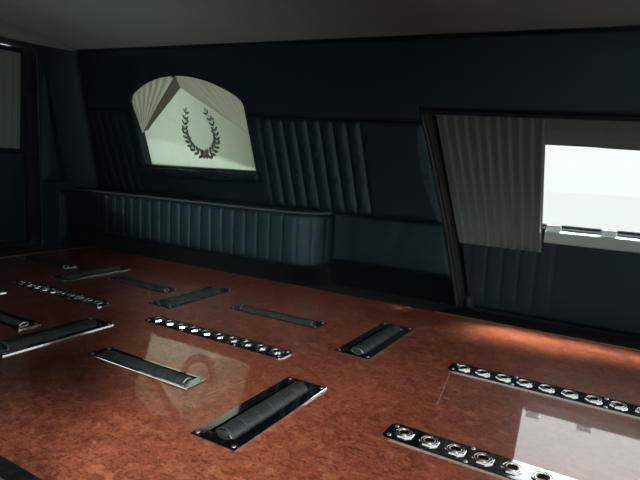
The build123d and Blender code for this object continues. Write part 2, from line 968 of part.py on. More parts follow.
window_shape = (
    (window_x(window_bottom), window_bottom),
    (window_x(window_corner_z), window_top(window_x(window_corner_z))),
    (window_front, window_top(window_front)),
    (window_front, window_bottom),
)
# Behind its skin the door is a box that stops short of the jamb
with BuildPart() as door_box:
    extrude(inner_section(door_edge(800), door_shell_y, door_flange, panel_bottom, wall_top), amount=through)
    extrude(side_outline(door_shape(-door_box_back)), amount=through, both=True, mode=Mode.INTERSECT)

with BuildPart() as side_door_shell:
    extrude(skin_section(door_edge(800), door_shell_y, panel_bottom, wall_top), amount=through)
    extrude(inner_section(door_edge(800), door_shell_y, door_flange, panel_bottom, wall_top),
            amount=through, mode=Mode.SUBTRACT)
    extrude(side_outline(door_shape(0)), amount=through, both=True, mode=Mode.INTERSECT)
    add(door_box.part)
    extrude(side_outline(window_shape), amount=through, both=True, mode=Mode.SUBTRACT)

with BuildPart() as side_door_glass:
    pane = door_shell_y + window_glass_set_back
    extrude(slab_section(door_edge(800), pane, pane + glass_thickness, box_top, wall_top), amount=through)
    extrude(side_outline(window_shape), amount=through, both=True, mode=Mode.INTERSECT)

with BuildPart() as side_door_trim:
    trim_start = door_edge(belt_z)
    extrude(flat_section(trim_start, door_trim_y, door_shell_y, door_trim_bottom, belt_z), amount=through)
    extrude(
        side_outline(
            [(door_edge(door_trim_bottom, -door_box_back), door_trim_bottom),
             (door_edge(belt_z, -door_box_back), belt_z),
             (door_front - door_edge_margin, belt_z),
             (door_front - door_edge_margin, door_trim_bottom)]
        ),
        amount=through, both=True, mode=Mode.INTERSECT,
    )

# Rubber seal on the jamb's step, with a lip towards the door
with BuildPart() as door_seal:
    seal_y = wall_back - seal_thickness
    seal_back = trim_edge_back - soft_gap
    extrude(slab_section(0, seal_y, wall_back, sill_top + rib_height, wall_top), amount=through)
    extrude(
        side_outline(
            [(door_edge(0, seal_back), 0), edge_meets(opening_top - soft_gap, seal_back),
             edge_meets(opening_top - soft_gap, -jamb_step + seal_lip),
             (door_edge(0, -jamb_step + seal_lip), 0)]
        ),
        amount=through, both=True, mode=Mode.INTERSECT,
    )


def hanging_slab(x, y_top, y_low, z_top, z_low, thickness):
    """Section of a thin soft panel that hangs from its top edge, its inner face given."""
    with BuildSketch(Plane.YZ.offset(x)) as section:
        with BuildLine():
            Polyline(
                (y_top, z_top),
                (y_low, z_low),
                (y_low + thickness, z_low),
                (y_top + thickness, z_top),
                close=True,
            )
        make_face()
    return section.sketch


with BuildPart() as side_door_drape:
    drape_rear, drape_top = edge_meets(door_top_at_middle - drape_top_gap, -door_box_back)
    drape_top_y = door_face(drape_top) - seat_gap - drape_thickness
    extrude(
        hanging_slab(0, drape_top_y, drape_low_y, drape_top, drape_bottom, drape_thickness),
        amount=through,
    )
    extrude(
        side_outline(
            [(door_edge(drape_bottom, -door_box_back), drape_bottom),
             (drape_rear, drape_top),
             (drape_front, door_top(drape_front) - drape_top_gap), (drape_front, drape_bottom)]
        ),
        amount=through, both=True, mode=Mode.INTERSECT,
    )

with BuildPart() as side_door_valance:
    valance_start = drape_front + soft_gap
    valance_top = door_top(drape_front) - drape_top_gap
    valance_low = door_top(window_front) - valance_drop
    valance_top_y = door_face(valance_top) - seat_gap - valance_thickness
    extrude(
        hanging_slab(0, valance_top_y, valance_low_y, valance_top, valance_low, valance_thickness),
        amount=window_front,
    )
    extrude(
        side_outline(
            [(valance_start, valance_top), (valance_start, door_top(drape_front) - valance_drop),
             (window_front, valance_low), (window_front, door_top(window_front) - drape_top_gap)]
        ),
        amount=through, both=True, mode=Mode.INTERSECT,
    )

with BuildPart() as side_door_ledge:
    ledge_y = door_trim_y - ledge_depth
    with BuildSketch(Plane.YZ.offset(drape_front + ledge_gap)):
        with BuildLine():
            Polyline(
                (ledge_y, belt_z + ledge_nose - ledge_bevel),
                (ledge_y, belt_z - ledge_nose + ledge_bevel),
                (ledge_y + ledge_bevel, belt_z - ledge_nose),
                (door_trim_y, belt_z - ledge_nose),
                (door_trim_y, belt_z),
                (door_shell_y, belt_z),
                (door_shell_y - lean_in(belt_z + ledge_nose, belt_z, wall_lean), belt_z + ledge_nose),
                (ledge_y + ledge_bevel, belt_z + ledge_nose),
                close=True,
            )
        make_face()
    extrude(amount=window_front - drape_front - ledge_gap)

latch_size = (46.0, 14.0, 20.0)
latch_corner = 4.0
latch_back = 10.0
latch_spots = (drape_front + 30.0, drape_front + 195.0)
with BuildPart() as side_door_latches:
    with BuildSketch(Plane.XY.offset(belt_z + ledge_nose)):
        with Locations(*[(x, ledge_y + latch_back) for x in latch_spots]):
            RectangleRounded(latch_size[0], latch_size[1], latch_corner)
    extrude(amount=latch_size[2])


def make_handle(face, middle, length, studs, turn):
    """A bar on two studs; the face's normal points out of the vehicle."""
    with BuildPart() as handle:
        with BuildSketch(face):
            with Locations(Location(middle, turn)), GridLocations(studs, 0, 2, 1):
                Circle(handle_stud / 2)
        extrude(amount=handle_reach)
        with BuildSketch(face.offset(handle_reach)):
            with Locations(middle):
                SlotOverall(length, handle_bar, rotation=turn)
        extrude(amount=handle_thickness)
    return handle.part


door_side = Plane(origin=(0, skin_y, 0), x_dir=(1, 0, 0), z_dir=(0, 1, 0))
door_handle_x = door_rear + 162.0
side_door_handle = make_handle(
    door_side, (door_handle_x, -door_handle_z), door_handle_length, door_handle_studs, 0
)


def hinge_plane(axis_x, axis_y, z, along):
    """Axis of a strap hinge, with the fixed strap to the local +X side."""
    return Plane(origin=(axis_x, axis_y, z), x_dir=along, z_dir=(0, 0, 1))


def make_straps(planes):
    """Moving straps, each with the middle knuckle."""
    with BuildPart() as straps:
        for plane in planes:
            with BuildSketch(plane.offset(-knuckle_half)):
                Circle(barrel_diameter / 2)
                with Locations((-strap_length / 2, -hinge_offset + strap_thickness / 2)):
                    Rectangle(strap_length, strap_thickness)
                with Locations((-barrel_diameter / 4, (strap_web_gap - hinge_offset) / 2)):
                    Rectangle(barrel_diameter / 2, hinge_offset - strap_web_gap)
                Circle(pin_diameter / 2 + axle_play, mode=Mode.SUBTRACT)
            extrude(amount=2 * knuckle_half)
    return straps.part


def make_brackets(planes):
    """Fixed straps with the outer knuckles and the pin."""
    knuckle = strap_height / 2 - knuckle_half + knuckle_extra
    pad_x = strap_length / 4 + barrel_diameter / 2 + bracket_pad_offset
    with BuildPart() as brackets:
        for plane in planes:
            for low in (knuckle_half + knuckle_gap, -knuckle_half - knuckle_gap - knuckle):
                with BuildSketch(plane.offset(low)):
                    Circle(barrel_diameter / 2)
                    with Locations((strap_length / 4, -hinge_offset + strap_thickness / 2)):
                        Rectangle(strap_length / 2, strap_thickness)
                    with Locations((barrel_diameter / 4, (strap_web_gap - hinge_offset) / 2)):
                        Rectangle(barrel_diameter / 2, hinge_offset - strap_web_gap)
                extrude(amount=knuckle)
            with BuildSketch(plane.offset(-knuckle_half - knuckle_gap - knuckle)):
                Circle(pin_diameter / 2)
            extrude(amount=2 * (knuckle_half + knuckle_gap + knuckle))
            with BuildSketch(plane.offset(-knuckle_half - knuckle_gap - knuckle)):
                with Locations((pad_x, -hinge_offset + strap_thickness / 2)):
                    Rectangle(strap_length / 2, strap_thickness)
            extrude(amount=2 * (knuckle_half + knuckle_gap + knuckle))
    return brackets.part


door_hinge_heights = (-60.0, 230.0)
gate_hinge_heights = (110.0, 450.0, 850.0)
door_axis = ((door_front + post_rear) / 2, skin_y + hinge_offset)
gate_axis = (rear_face - hinge_offset, gate_half_width + gate_gap / 2)
door_planes = [hinge_plane(*door_axis, z, (1, 0, 0)) for z in door_hinge_heights]
gate_planes = [hinge_plane(*gate_axis, z, (0, 1, 0)) for z in gate_hinge_heights]
side_door_hinge_straps = make_straps(door_planes)
tailgate_hinge_straps = make_straps(gate_planes)
hinge_brackets = make_brackets(door_planes + gate_planes)


def gate_panel(x, half, low, high, corner):
    with BuildSketch(Plane.YZ.offset(x)) as panel:
        with Locations((0, (low + high) / 2)):
            RectangleRounded(2 * half, high - low, corner)
    return panel.sketch


with BuildPart() as tailgate_shell:
    gate_depth = gate_inner - rear_face
    extrude(gate_panel(rear_face, gate_half_width, gate_bottom, gate_top, gate_corner), amount=gate_depth)
    extrude(
        gate_panel(rear_face, gate_window_half, gate_window_bottom, gate_window_top, gate_window_corner),
        amount=gate_depth, mode=Mode.SUBTRACT,
    )
with BuildPart() as tailgate_glass:
    gate_pane = rear_face + gate_glass_set_back
    extrude(
        gate_panel(gate_pane, gate_window_half, gate_window_bottom, gate_window_top, gate_window_corner),
        amount=glass_thickness,
    )
with BuildPart() as tailgate_trim:
    extrude(
        gate_panel(gate_inner, gate_trim_half, gate_trim_bottom, gate_trim_top, gate_trim_corner),
        amount=gate_trim_thickness,
    )
with BuildPart() as tailgate_drape:
    drape_x = gate_inner + seat_gap
    extrude(
        gate_panel(drape_x, gate_drape_half, gate_drape_bottom, gate_drape_top, gate_drape_corner),
        amount=gate_drape_thickness,
    )
gate_side = Plane(origin=(rear_face, 0, 0), x_dir=(0, -1, 0), z_dir=(-1, 0, 0))
tailgate_handle = make_handle(
    gate_side, (-gate_handle_y, gate_handle_z), gate_handle_length, gate_handle_studs, 90
)

pieces = {
    "deck_board": deck_board.part,
    "frame_rails": frame_rails.part,
    "frame_cross_members": frame_cross_members.part,
    "frame_legs": frame_legs.part,
    "deck_edge_strip": deck_edge_strip.part,
    "door_sill": door_sill.part,
    "rear_sill": rear_sill.part,
    "rear_sill_inlay": rear_sill_inlay.part,
    "bier_pin_plates": bier_pin_plates.part,
    "crosswise_roller_trays": crosswise_roller_trays,
    "lengthwise_roller_trays": lengthwise_roller_trays,
    "roller_axles": roller_axles,
    "kick_panel": kick_panel.part,
    "wheelhouse_box": wheelhouse_box.part,
    "wheelhouse_rail": wheelhouse_rail.part,
    "wheelhouse_liner": wheelhouse_liner.part,
    "lower_quarter_trim": lower_quarter_trim.part,
    "upper_quarter_trim": upper_quarter_trim.part,
    "header_band": header_band.part,
    "quarter_panel": quarter_panel.part,
    "headliner": headliner.part,
    "roof_panel": roof_panel.part,
    "opera_window_glass": opera_window_glass.part,
    "opera_backing_cloth": opera_backing_cloth.part,
    "opera_drapes": opera_drapes.part,
    "window_sill_pad": window_sill_pad.part,
    "door_seal": door_seal.part,
    "front_post": front_post.part,
    "front_post_trim": front_post_trim.part,
    "rear_frame": rear_frame.part,
    "rear_frame_trim": rear_frame_trim.part,
    "hinge_brackets": hinge_brackets,
    "side_door_shell": side_door_shell.part,
    "side_door_trim": side_door_trim.part,
    "side_door_glass": side_door_glass.part,
    "side_door_drape": side_door_drape.part,
    "side_door_valance": side_door_valance.part,
    "side_door_ledge": side_door_ledge.part,
    "side_door_latches": side_door_latches.part,
    "side_door_handle": side_door_handle,
    "side_door_hinge_straps": side_door_hinge_straps,
    "tailgate_shell": tailgate_shell.part,
    "tailgate_trim": tailgate_trim.part,
    "tailgate_glass": tailgate_glass.part,
    "tailgate_drape": tailgate_drape.part,
    "tailgate_handle": tailgate_handle,
    "tailgate_hinge_straps": tailgate_hinge_straps,
}
for place, x, side in cross_units:
    pieces["crosswise_roller_" + place] = make_roller(x, side * unit_y, cross_roller, cross_proud, 90)
for place, x, side in long_units:
    pieces["lengthwise_roller_" + place] = make_roller(x, side * unit_y, long_roller, long_proud, 0)

for name, piece in pieces.items():
    piece.label = name
    export_step(piece, f"parts/{name}.step")
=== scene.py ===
import math

import bpy
from mathutils import Matrix, Vector, noise


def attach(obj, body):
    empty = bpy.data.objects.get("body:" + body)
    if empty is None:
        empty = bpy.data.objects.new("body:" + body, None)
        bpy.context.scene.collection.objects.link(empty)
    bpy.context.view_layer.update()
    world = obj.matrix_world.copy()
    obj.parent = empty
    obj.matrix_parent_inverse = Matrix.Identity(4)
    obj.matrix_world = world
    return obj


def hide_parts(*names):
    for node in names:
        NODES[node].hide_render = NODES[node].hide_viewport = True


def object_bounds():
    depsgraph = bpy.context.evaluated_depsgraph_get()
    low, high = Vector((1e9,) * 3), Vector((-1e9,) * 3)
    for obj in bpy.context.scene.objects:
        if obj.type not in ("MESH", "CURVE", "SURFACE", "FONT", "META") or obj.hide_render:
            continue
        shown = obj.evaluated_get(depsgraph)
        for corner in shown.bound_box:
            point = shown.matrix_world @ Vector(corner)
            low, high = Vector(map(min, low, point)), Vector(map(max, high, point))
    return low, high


bl_info = {
    "name": "Casket Compartment",
    "version": (1, 0, 0),
    "blender": (4, 5, 0),
    "location": "View3D > Sidebar > Compartment",
    "description": "Finishes, upholstery and drapes of a hearse's casket compartment",
    "category": "Object",
}

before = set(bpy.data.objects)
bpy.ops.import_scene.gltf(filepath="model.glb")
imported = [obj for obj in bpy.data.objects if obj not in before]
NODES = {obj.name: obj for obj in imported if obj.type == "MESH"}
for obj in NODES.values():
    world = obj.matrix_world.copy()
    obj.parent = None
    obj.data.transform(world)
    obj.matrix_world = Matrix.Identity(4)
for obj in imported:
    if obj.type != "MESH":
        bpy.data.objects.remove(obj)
cad_low, cad_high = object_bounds()
MM = 0.001
BLACK = (0.0, 0.0, 0.0)

# Slopes of the body: of the walls inwards, of its lines to the rear, and of raked edges
WALL_ANGLE = math.radians(10.0)
WALL_LEAN = math.tan(WALL_ANGLE)
SKIN_SLOPE = 0.2217
BODY_RISE = 0.0367
DOOR_RAKE = 0.24
OPERA_RAKE = 0.14

# Lines of the side wall, the roof and the rear corner, in millimetres, as the frame was drawn
WALL_Y = 840.0
WALL_REAR = -1650.0
DECK_EDGE = 695.0
SKIRT_TOP = 102.0
BELT_Z = 305.0
TRIM_TOP = 694.0
TRIM_BACK = 28.0
HEADER_TOP = 993.0
ROOF_CROWN = 75.0
POST_REAR = 1479.0
POST_FRONT = 1560.0
POST_FOOT = -20.0
POST_HEAD = 683.0
FRONT_PLEATS = (-350.0, 146.0)
REAR_PLEATS = (-1487.0, -1223.0)
CORNER_X = -1580.0
CORNER_DEEP = 62.0
CORNER_WIDE = 161.0
CORNER_TOP = 1046.0

# Wheelhouse box
BOX_BOTTOM = 75.0
BOX_TOP = 300.0
BOX_FRONT = -37.0
BOX_ROUND = 145.0
BOX_CHANNEL_MARK = -401.0

# Opera window: half its width, height of its sides, rise of its arch
OPERA_MIDDLE = -808.0
OPERA_BOTTOM = 458.0
OPERA_HALF = 374.0
OPERA_SIDE = 333.0
OPERA_RISE = 108.0
OPERA_RADIUS = (OPERA_HALF**2 + OPERA_RISE**2) / (2 * OPERA_RISE)

# Side door and its window, and the tailgate
DOOR_TOP = 733.0
DOOR_REAR = 548.0
DOOR_OPENING_TOP = 741.0
DOOR_TRIM_Y = 805.0
DOOR_TRIM_BACK = -42.0
DOOR_TRIM_FRONT = 1458.0
DOOR_PLEATS = (578.0, 856.0)
DRAPE_FRONT = 815.0
DRAPE_LOW = 250.0
WINDOW_FRONT = 1405.0
GATE_INNER = -1720.0
GATE_PANEL_HALF = 479.0


def climb(height, x):
    """Height of a line that climbs to the rear, at x."""
    return height - BODY_RISE * x


def wall_y(z):
    """Inner face of the side wall at height z."""
    return WALL_Y - max(0.0, z - BELT_Z) * WALL_LEAN


def wall_inside(x, z, back):
    """A point behind the leaning wall's face, at a depth square to it."""
    return x, wall_y(z) + back * math.cos(WALL_ANGLE), z + back * math.sin(WALL_ANGLE)


def roof_z(x, y):
    """Height of the crowned roof's lining."""
    edge_z = climb(HEADER_TOP, x)
    radius = (wall_y(edge_z)**2 + ROOF_CROWN**2) / (2 * ROOF_CROWN)
    return edge_z + ROOF_CROWN - radius + math.sqrt(max(0.0, radius**2 - y**2))


def door_edge(z, back=0.0):
    """The door's raked rear edge, or a line parallel to it."""
    return DOOR_REAR - DOOR_RAKE * max(z, 0.0) - back


def opera_point(across, up):
    """A point of the raked opera window on the wall, as x and z."""
    return (
        OPERA_MIDDLE + across - OPERA_RAKE * up,
        OPERA_BOTTOM + up - BODY_RISE * across * up / OPERA_SIDE,
    )


def opera_arch():
    """The arch from its front shoulder over the crown to its rear shoulder, as across and up."""
    steps = 28
    spread = math.asin(OPERA_HALF / OPERA_RADIUS)
    centre = OPERA_SIDE + OPERA_RISE - OPERA_RADIUS
    turns = [spread - 2 * spread * step / steps for step in range(steps + 1)]
    return [(OPERA_RADIUS * math.sin(turn), centre + OPERA_RADIUS * math.cos(turn)) for turn in turns]


def lerp(a, b, share):
    """The number a share of the way from one to another."""
    return a + (b - a) * share


def smooth(share):
    """A share from 0 to 1, eased at both ends."""
    share = min(1.0, max(0.0, share))
    return share * share * (3 - 2 * share)


def hump(value, middle, width):
    """1 at a middle, falling off smoothly to both sides."""
    return math.exp(-(((value - middle) / width) ** 2))


def ripple(x, y, seed):
    """A soft random height from -1 to 1 that is the same each run."""
    return noise.noise(Vector((x, y, seed)))


# Three fine scratches in the deck's lacquer, in metres
DECK_SCRATCHES = (
    ((0.700, 0.245), (0.745, -0.035)),
    ((1.140, 0.420), (1.155, 0.300)),
    ((0.330, -0.180), (0.300, -0.320)),
)


def colour(name, description, default):
    """A colour that the user can change."""
    return bpy.props.FloatVectorProperty(
        name=name, description=description, default=default, subtype="COLOR", size=3)


class CompartmentColours(bpy.types.PropertyGroup):
    """Colours of the compartment's materials"""

    burl_light: colour("Burl light", "Lit figure of the deck's burl laminate", (0.37, 0.092, 0.048))
    burl_dark: colour("Burl dark", "Shaded figure of the burl laminate", (0.13, 0.029, 0.017))
    leather: colour("Leather", "Near-black upholstery", (0.006, 0.011, 0.015))
    leather_worn: colour("Leather, rubbed", "Where the hide's grain is rubbed paler", (0.014, 0.022, 0.027))
    bead: colour("Bead", "Grey bead on the wheelhouse box", (0.035, 0.043, 0.045))
    headliner: colour("Headliner", "Headliner cloth", (0.12, 0.135, 0.12))
    cloth: colour("Window cloth", "Pale cloth in the opera window", (0.78, 0.85, 0.76))
    ivory: colour("Swags", "Ivory swags of the opera window", (0.74, 0.76, 0.60))
    drape: colour("Door drape", "Grey drapes of the doors", (0.15, 0.175, 0.16))
    paint: colour("Body paint", "Gloss paint outside", (0.008, 0.010, 0.015))
    gold: colour("Edging", "Gold edging along the sill", (0.62, 0.44, 0.16))


class CompartmentSizes(bpy.types.PropertyGroup):
    """Sizes of the compartment's soft goods"""

    box_pleat: bpy.props.FloatProperty(
        name="Box pleat", description="Pitch of the wheelhouse box's channels", default=0.067, unit="LENGTH")
    pad_thickness: bpy.props.FloatProperty(
        name="Pad thickness", description="Thickness of a pad behind its face", default=0.014, unit="LENGTH")


class Value:
    """A number or vector in a node tree, written in ordinary expressions."""

    def __init__(self, nodes, socket):
        self.nodes = nodes
        self.socket = socket

    def maths(self, operation, *values, clamp=False):
        settings = {"operation": operation, "use_clamp": clamp}
        return self.nodes.add("ShaderNodeMath", settings, dict(enumerate(values)))

    def __add__(self, other):
        return self.maths("ADD", self, other)

    __radd__ = __add__

    def __sub__(self, other):
        return self.maths("SUBTRACT", self, other)

    def __rsub__(self, other):
        return self.maths("SUBTRACT", other, self)

    def __mul__(self, other):
        return self.maths("MULTIPLY", self, other)

    __rmul__ = __mul__

    def __truediv__(self, other):
        return self.maths("DIVIDE", self, other)

    def __pow__(self, other):
        return self.maths("POWER", self, other)

    def fraction(self):
        """What is left of a number past its last whole one."""
        return self.maths("FRACT", self)

    def size(self):
        """A number without its sign."""
        return self.maths("ABSOLUTE", self)

    def above(self, level, softness):
        """0 below a level and 1 above it, with a soft step."""
        return self.maths("MULTIPLY_ADD", self, 1 / softness, 0.5 - level / softness, clamp=True)


class Nodes:
    """A node tree and the way to add to it."""

    def __init__(self, tree):
        self.tree = tree

    def join(self, value, socket):
        """Joins a value to a socket, or sets the socket to it."""
        if isinstance(value, Value):
            self.tree.links.new(value.socket, socket)
        elif socket.type == "RGBA" and len(value) == 3:
            socket.default_value = (*value, 1.0)
        else:
            socket.default_value = value

    def add(self, kind, settings, values, output=0):
        """Adds a node, sets it up, and joins or sets its sockets by name or number."""
        node = self.tree.nodes.new(kind)
        for name, setting in settings.items():
            setattr(node, name, setting)
        for name, value in values.items():
            self.join(value, node.inputs[name])
        return Value(self, node.outputs[output])

    def axis(self, number, place):
        """One coordinate of a place: 0 for x, 1 for y, 2 for z."""
        return self.add("ShaderNodeSeparateXYZ", {}, {0: place}, number)

    def ray(self, kind):
        """1 for rays of one kind, 0 for the others."""
        return self.add("ShaderNodeLightPath", {}, {}, f"Is {kind} Ray")

    def seen(self):
        """1 for what the camera sees directly, mirrored or through glass, 0 for what only lights."""
        camera, mirrored, passed = (self.ray(kind) for kind in ("Camera", "Glossy", "Transmission"))
        return (camera + mirrored + passed).above(0.5, 0.1)


class Finish(Nodes):
    """A procedural material and the nodes that it is made of."""

    def __init__(self, name, **settings):
        self.material = bpy.data.materials.new(name)
        self.material.use_nodes = True
        super().__init__(self.material.node_tree)
        self.shader = self.tree.nodes["Principled BSDF"]
        self.set(**settings)

    def set(self, **settings):
        """Sets the shader's sockets, by their names in lower case with underscores."""
        sockets = {socket.name.lower().replace(" ", "_"): socket for socket in self.shader.inputs}
        for name, value in settings.items():
            self.join(value, sockets[name])
        return self

    def blend(self, share, shader):
        """Mixes another shader over this one, by a share from 0 to 1."""
        first = Value(self, self.shader.outputs[0])
        mixed = self.add("ShaderNodeMixShader", {}, {0: share, 1: first, 2: shader})
        self.tree.links.new(mixed.socket, self.tree.nodes["Material Output"].inputs["Surface"])
        return self

    def place(self):
        """Where a point is in the vehicle, in metres."""
        return self.add("ShaderNodeTexCoord", {}, {}, "Object")

    def cloth_place(self):
        """Where a point is on its cloth laid flat, in metres."""
        return self.add("ShaderNodeTexCoord", {}, {}, "UV")

    def stretched(self, scale, turn=(0.0, 0.0, 0.0), place=None):
        """Coordinates stretched along the axes, for grain that runs one way."""
        values = {"Vector": place or self.place(), "Scale": scale, "Rotation": turn}
        return self.add("ShaderNodeMapping", {}, values)

    def noise(self, scale, detail=3.0, roughness=0.5, distortion=0.0, place=None):
        values = {"Scale": scale, "Detail": detail, "Roughness": roughness, "Distortion": distortion}
        return self.add("ShaderNodeTexNoise", {}, {"Vector": place or self.place(), **values})

    def cells(self, scale, feature="F1"):
        values = {"Vector": self.place(), "Scale": scale}
        return self.add("ShaderNodeTexVoronoi", {"feature": feature}, values)

    def wave(self, scale, direction, distortion, place=None):
        settings = {"wave_type": "BANDS", "bands_direction": direction, "wave_profile": "SIN"}
        values = {"Scale": scale, "Distortion": distortion, "Detail": 1.0}
        return self.add("ShaderNodeTexWave", settings, {"Vector": place or self.place(), **values})

    def mix(self, share, low, high):
        """A colour between two, at a share from 0 to 1."""
        return self.add("ShaderNodeMix", {"data_type": "RGBA"}, {0: share, 6: low, 7: high}, 2)

    def relief(self, height, strength, depth):
        """Bends the surface's normal by a height, of which 1 stands as high as depth, in metres."""
        bump = self.add("ShaderNodeBump", {}, {"Height": height, "Strength": strength, "Distance": depth})
        return self.set(normal=bump)


def dimmed(tone, share):
    """A colour made darker or, past 1, paler."""
    return tuple(channel * share for channel in tone)


def burl_laminate(colours):
    """Lacquered burl: clouded colour, swirling figure, dark eyes and flecks, a few scratches in the coat."""
    finish = Finish("burl_laminate", coat_weight=1.0, coat_roughness=0.03, coat_ior=1.9)
    light, dark = tuple(colours.burl_light), tuple(colours.burl_dark)
    cloud = finish.noise(2.6, 2.0, 0.5)
    swirl = finish.noise(14.0, 5.0, 0.62, 1.8)
    figure = finish.noise(58.0, 6.0, 0.7, 2.8)
    tone = (swirl * 0.6 + figure * 0.8 + cloud * 0.5).above(0.95, 0.36)
    base = finish.mix(tone, dark, light)
    ember = finish.noise(26.0, 3.0, 0.6, 1.4).above(0.60, 0.2)
    base = finish.mix(ember * 0.4, base, (0.60, 0.20, 0.10))
    run = finish.stretched((0.45, 1.0, 1.0), (0.0, 0.0, 0.45))
    eyes = finish.noise(105.0, 3.0, 0.6, 1.0, run).above(0.60, 0.09)
    base = finish.mix(eyes * 0.6, base, dimmed(dark, 0.4))
    flecks = finish.noise(230.0, 2.0, 0.6, 0.6, run).above(0.61, 0.1)
    base = finish.mix(flecks * 0.6, base, dimmed(dark, 0.35))
    fine = finish.noise(420.0, 3.0, 0.7)
    base = finish.mix((fine - 0.45) * 1.1, base, dimmed(dark, 0.55))
    x, y = (finish.axis(number, finish.place()) for number in (0, 1))
    half_width = 0.0008
    for (ax, ay), (bx, by) in DECK_SCRATCHES:
        length = math.dist((ax, ay), (bx, by))
        dx, dy = (bx - ax) / length, (by - ay) / length
        along = (x - ax) * dx + (y - ay) * dy
        aside = (x - ax) * -dy + (y - ay) * dx + (fine - 0.5) * 0.002
        mark = 1 - (aside * aside).above(half_width**2, half_width**2)
        mark = mark * along.above(0.0, 0.01) * (length - along).above(0.0, 0.01)
        base = finish.mix(mark * 0.5, base, (0.62, 0.42, 0.34))
    finish.set(base_color=base)
    return finish.set(roughness=finish.noise(30.0, 3.0) * 0.12 + 0.36).material


def leather(name, hide, worn):
    """Grained upholstery hide, rubbed paler here and there."""
    # The teal specular tint colours the hide's reflections like the daylight it mirrors: painted reflection
    # colour
    finish = Finish(name, specular_ior_level=0.4, specular_tint=(0.58, 0.90, 1.0))
    pores = finish.cells(620.0, "DISTANCE_TO_EDGE")
    folds = finish.noise(60.0, 4.0, 0.6, 0.8)
    rub = finish.noise(7.0, 4.0, 0.65).above(0.62, 0.3)
    finish.set(base_color=finish.mix(rub * 0.5, hide, worn))
    finish.set(roughness=finish.noise(24.0, 3.0) * 0.14 + 0.40)
    return finish.relief(pores.above(0.06, 0.12) + folds * 0.8, 0.35, 0.0006).material


def polished_chrome():
    """Bright plate with handling marks."""
    finish = Finish("polished_chrome", metallic=1.0, base_color=(0.78, 0.79, 0.80))
    smear = finish.noise(26.0, 4.0, 0.6, 0.9)
    fine = finish.noise(700.0, 2.0, 0.6, 0.0, finish.stretched((0.04, 1.0, 1.0)))
    finish.set(roughness=smear.above(0.66, 0.3) * 0.12 + fine * 0.05 + 0.03)
    return finish.relief(smear, 0.05, 0.001).material


def brushed_metal(name, metal, roughness, along=(0.03, 1.0, 1.0)):
    """Metal with fine lines along one axis."""
    finish = Finish(name, metallic=1.0)
    lines = finish.noise(900.0, 3.0, 0.6, 0.0, finish.stretched(along))
    finish.set(base_color=finish.mix(lines, dimmed(metal, 0.82), metal))
    finish.set(roughness=lines * 0.16 + roughness)
    return finish.relief(lines, 0.12, 0.0004).material


def seal_rubber():
    """Black rubber with a little dust on it."""
    finish = Finish("seal_rubber")
    dust = finish.noise(40.0, 5.0, 0.65)
    dusty = dust.above(0.6, 0.3) * 0.6
    finish.set(base_color=finish.mix(dusty, (0.007, 0.008, 0.009), (0.028, 0.030, 0.031)))
    finish.set(roughness=dust * 0.2 + 0.5)
    return finish.relief(finish.noise(800.0, 2.0), 0.2, 0.0004).material


def roller_sleeves(name, axis):
    """Charcoal rubber sleeves side by side on a roller, with a fine seam at each joint, painted pale as a
    highlight along its groove.
    """
    finish = Finish(name)
    sleeve = 0.044
    share = ((finish.axis(axis, finish.place()) + 10.0) / sleeve).fraction()
    seam = (share - 0.5).size().above(0.485, 0.012)
    dust = finish.noise(50.0, 4.0, 0.6)
    # The seams are painted pale: a painted highlight along the edges of their grooves; the pale dust is real
    pale = seam * 0.8 + dust.above(0.55, 0.3) * 0.25
    finish.set(base_color=finish.mix(pale, (0.017, 0.021, 0.021), (0.07, 0.08, 0.08)))
    finish.set(roughness=dust * 0.16 + 0.36)
    return finish.relief(0.0 - seam, 0.6, 0.0006).material


def coach_paint(name, paint, outside):
    """Deep black coach paint, clear-coated outside and satin in the jambs; outside gives its mask."""
    finish = Finish(name, coat_roughness=0.02, coat_ior=1.5, specular_ior_level=0.3)
    place = finish.place()
    gloss = outside(*(finish.axis(number, place) for number in range(3)))
    flake = finish.noise(1400.0, 1.0)
    finish.set(base_color=finish.mix(flake.above(0.7, 0.1) * 0.5, paint, dimmed(paint, 3.0)))
    finish.set(coat_weight=gloss)
    finish.set(roughness=0.86 - gloss * 0.46)
    return finish.relief(finish.noise(120.0, 2.0), 0.015, 0.001).material


def painted_steel():
    """Black chassis paint with small chips."""
    finish = Finish("frame_paint")
    chips = finish.noise(30.0, 6.0, 0.7).above(0.7, 0.06)
    finish.set(base_color=finish.mix(chips, (0.022, 0.023, 0.025), (0.10, 0.07, 0.05)))
    finish.set(roughness=chips * 0.3 + 0.42)
    return finish.relief(finish.noise(300.0, 3.0), 0.25, 0.0006).material


def carpet():
    """Short black loop pile."""
    finish = Finish("black_carpet", roughness=0.95, specular_ior_level=0.08, sheen_weight=0.03)
    tufts = finish.cells(420.0)
    finish.set(base_color=finish.mix(tufts.above(0.4, 0.5), (0.0032, 0.0042, 0.0062), (0.001, 0.0014, 0.002)))
    return finish.relief(tufts, 0.8, 0.003).material


